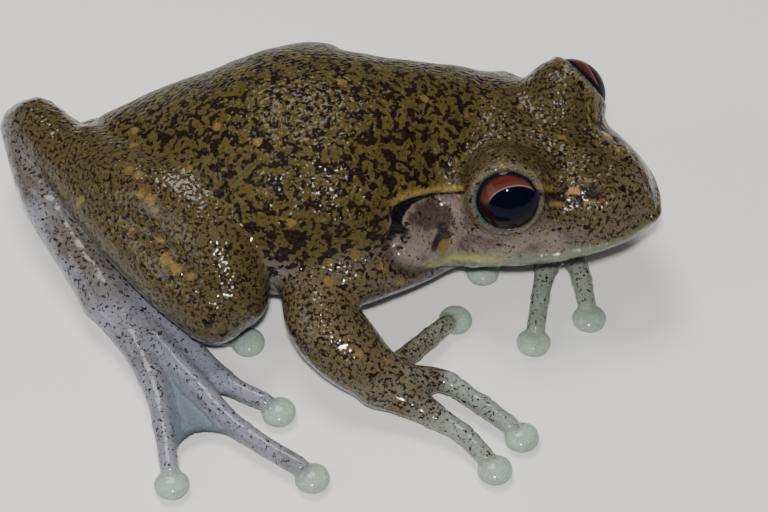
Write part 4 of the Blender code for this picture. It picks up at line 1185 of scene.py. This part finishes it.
def skin_material():
    """Wet hide: the painted tone, then flecks, marks, specks, spots, the fold's painted shadow and the
    mouth's painted shade.
    """
    s = Shading("frog_skin")
    at = s.place()
    tone = s.attribute("tone", "Color")
    marks = s.attribute("marks")
    specks = s.attribute("specks")
    hide = s.attribute("rough_hide")
    broad = s.noise(at, 0.22, 3.0)
    tone = s.mix(s.ease(broad, 0.35, 0.68, 0.0, 0.35), tone, s.mix(1.0, tone, SHADED, "MULTIPLY"))
    grain = s.noise(at, 2.4, 3.0, 0.65)
    tone = s.mix(s.ease(grain, 0.38, 0.68, 0.0, 0.5), tone, s.mix(1.0, tone, LIGHTENED, "MULTIPLY"))
    # Ochre flecks lie between dark marks and fine specks: each is noise cut off at a level
    fleck = s.ease(s.noise(at, 0.95, 3.0, 0.6, 0.3), 0.52, 0.58)
    tone = s.mix(s.times(fleck, marks, 0.55), tone, (*OCHRE, 1))
    ragged = s.noise(at, 0.95, 2.5, 0.50, 0.3)
    blotch = dark_patches(s, ragged, marks, MARKS_SINK, -0.012, 0.018)
    fine = s.noise(at, 1.9, 3.0, 0.7, 0.2)
    speck = dark_patches(s, fine, specks, SPECKS_SINK, -0.01, 0.03)
    dark = s.mix(s.noise(at, 0.5), NEARLY_BLACK, DARK_BROWN)
    # Scattered ochre spots with uneven edges
    bent = s.node("ShaderNodeVectorMath", {0: at, 1: s.noise(at, 1.6, 2.0, output="Color")}, operation="ADD")
    near = s.cells(bent, SPOT_SCALE)
    luck = s.node("ShaderNodeSeparateColor", {0: s.cells(bent, SPOT_SCALE, "Color")})
    spot = s.times(s.ease(near, 0.27, 0.19), s.ease(luck, 0.66, 0.72), s.ease(hide, 0.2, 0.45))
    spot = s.times(spot, s.ease(s.math("MAXIMUM", marks, specks), 0.3, 0.7, 0.0, 0.85))
    tone = s.mix(s.times(speck, 0.95), tone, dark)
    tone = s.mix(s.times(blotch, 0.97), tone, dark)
    tone = s.mix(spot, tone, (*OCHRE, 1))
    # Painted shadow under the overhanging fold behind the eye, with a ragged edge
    ragged_edge = s.times(s.minus(s.noise(at, 1.4, 3.0), 0.5), FOLD_SHADOW_RAGGEDNESS)
    fold_shadow = s.ease(s.math("ADD", s.attribute("fold_shadow"), ragged_edge), -0.04, 0.06)
    tone = s.mix(fold_shadow, tone, FOLD_SHADOW_BLACK)
    # Painted shade along the slit between the lips
    mouth = s.math("ABSOLUTE", s.math("ADD", s.attribute("mouth"), 0.08))
    tone = s.mix(s.ease(mouth, 0.30, 0.10, 0.0, 0.85), tone, MOUTH_SLIT_SHADE)
    # Each granule is domed, and the coat runs over the granules but not over the fine grain
    granule = s.cells(at, GRANULE_SCALE, feature="SMOOTH_F1")
    raised = s.times(granule, hide, -0.9)
    fine_grain = s.times(s.noise(at, 4.5, 4.0, 0.6), 0.22)
    normal = s.bump(s.math("ADD", raised, fine_grain), 0.7, 0.00045)
    wet = s.bump(raised, 0.7, 0.00038)
    gloss = s.ease(s.noise(at, 0.8, 3.0), 0.3, 0.7, 0.34, 0.55)
    s.finish(Base_Color=tone, Roughness=gloss, Normal=normal, Specular_IOR_Level=0.03,
             Subsurface_Weight=0.03, Subsurface_Radius=(1.0, 0.6, 0.45), Subsurface_Scale=0.0007,
             Coat_Weight=s.attribute("wet"), Coat_Roughness=0.10, Coat_IOR=1.35, Coat_Normal=wet)
    return s.material


# The pupil is an oval: where its middle lies in the eye's own directions, and its half sizes
PUPIL_X, PUPIL_Y = 0.12, -0.03
PUPIL_LONG, PUPIL_TALL = 0.64, 0.50
IRIS_EDGE = (0.30, 0.20, 0.17, 1)


def eye_material():
    """Iris in the eye's own directions: x forward or back, y up, z the way it looks."""
    s = Shading("frog_eye")
    look = s.attribute("look", "Vector")
    parts = s.tree.nodes.new("ShaderNodeSeparateXYZ")
    s.tree.links.new(look, parts.inputs[0])
    x, y, z = parts.outputs
    out = s.length(x, y)
    oval = s.length(s.math("DIVIDE", s.minus(x, PUPIL_X), PUPIL_LONG),
                    s.math("DIVIDE", s.minus(y, PUPIL_Y), PUPIL_TALL))
    streaks = s.noise(look, 9.0, 5.0, 0.65, 1.2)
    veins = s.cells(look, 18.0, feature="DISTANCE_TO_EDGE")
    rust = s.mix(streaks, (0.026, 0.005, 0.004, 1), (0.115, 0.024, 0.014, 1))
    rust = s.mix(s.ease(oval, 1.35, 1.05, 0.0, 0.6), rust, (0.105, 0.050, 0.038, 1))
    brown = s.mix(streaks, (0.004, 0.002, 0.002, 1), (0.022, 0.009, 0.007, 1))
    upper = s.ease(s.math("ADD", y, s.times(streaks, 0.10)), 0.10, 0.30)
    iris = s.mix(upper, brown, rust)
    iris = s.mix(s.ease(veins, 0.06, 0.02, 0.0, 0.35), iris, (0.010, 0.005, 0.005, 1))
    edge = s.ease(s.math("ABSOLUTE", s.minus(oval, 1.04)), 0.05, 0.0)
    iris = s.mix(s.times(edge, s.ease(y, 0.15, 0.33), 0.5), iris, IRIS_EDGE)
    iris = s.mix(s.ease(out, 0.70, 0.78), iris, (0.004, 0.006, 0.010, 1))
    iris = s.mix(s.ease(oval, 1.03, 0.98), iris, (0.0015, 0.002, 0.009, 1))
    iris = s.mix(s.ease(z, 0.55, 0.45), iris, (0.004, 0.007, 0.030, 1))
    s.finish(Base_Color=iris, Roughness=0.3, Specular_IOR_Level=0.0, Coat_Weight=0.35, Coat_Roughness=0.02,
             Coat_IOR=1.34)
    return s.material


skin, flesh, flesh_normal, shares = make_skin()
paint_skin(skin, flesh, flesh_normal, shares)
skin.data.materials.append(skin_material())
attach(skin, "root")
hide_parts(*[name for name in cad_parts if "eye" not in name])
iris = eye_material()
for side, name in ((-1, "right_eye"), (1, "left_eye")):
    eye = make_eye(side, name + "ball")
    eye.data.materials.append(iris)
    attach(eye, "root")
    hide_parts(name)


FLOOR_REACH = 1.5         # metres from the middle of the floor to each edge
# Lights: name, place in metres, width in metres, watts and colour
LIGHTS = [
    ("key", (-0.15, 0.25, 0.55), 0.28, 2.7, (1, 0.98, 0.94)),
    ("fill", (-0.40, -0.25, 0.30), 0.30, 0.7, (0.95, 0.97, 1)),
    ("glint", (0.05, -0.22, 0.33), 0.026, 1.5, (1, 0.99, 0.97)),
]
ROOM_COLOUR = (0.9, 0.93, 1, 1)
ROOM_STRENGTH = 0.12
# The camera stands at the frog's right, turned this far towards its front and raised this far
CAMERA_TURN = math.radians(11)
CAMERA_RISE = math.radians(50)
CAMERA_AWAY = 0.330       # metres from what it looks at
CAMERA_TARGET = (0, -17, 10)
CAMERA_LENS = 116.7       # millimetres, on a sensor 36 wide


def make_floor():
    """A matt sheet of pale paper."""
    corners = [(x * FLOOR_REACH, y * FLOOR_REACH, 0) for x, y in ((-1, -1), (1, -1), (1, 1), (-1, 1))]
    floor = add_mesh("floor", corners, [(0, 1, 2, 3)])
    paper = Shading("floor_paper")
    paper.finish(Base_Color=(0.78, 0.77, 0.74, 1), Roughness=0.85)
    floor.data.materials.append(paper.material)


def add_light(name, place, size, power, colour):
    """A round lamp that looks at the middle of the floor."""
    light = bpy.data.lights.new(name, "AREA")
    light.shape = "DISK"
    light.size = size
    light.energy = power
    light.color = colour
    lamp = add_object(name, light)
    lamp.location = place
    lamp.rotation_euler = (-Vector(place)).to_track_quat("-Z", "Y").to_euler()


def make_camera():
    """The camera of the photo: it looks down on the target from the frog's right."""
    turn, rise = CAMERA_TURN, CAMERA_RISE
    back = Vector((math.sin(turn) * math.cos(rise), -math.cos(turn) * math.cos(rise), math.sin(rise)))
    right = Vector((math.cos(turn), math.sin(turn), 0))
    up = back.cross(right)
    target = Vector((np.array(CAMERA_TARGET) + SHIFT) * MM)
    lens = bpy.data.cameras.new("camera")
    lens.sensor_width = 36
    lens.lens = CAMERA_LENS
    lens.clip_start = 0.01
    camera = add_object("camera", lens)
    place = Matrix((right, up, back)).transposed().to_4x4()
    place.translation = target + back * CAMERA_AWAY
    camera.matrix_world = place
    bpy.context.scene.camera = camera


def light_room():
    """A faint even light from all around."""
    world = bpy.data.worlds.new("room")
    bpy.context.scene.world = world
    world.use_nodes = True
    sky = world.node_tree.nodes["Background"]
    sky.inputs["Color"].default_value = ROOM_COLOUR
    sky.inputs["Strength"].default_value = ROOM_STRENGTH


make_floor()
for lamp in LIGHTS:
    add_light(*lamp)
make_camera()
light_room()
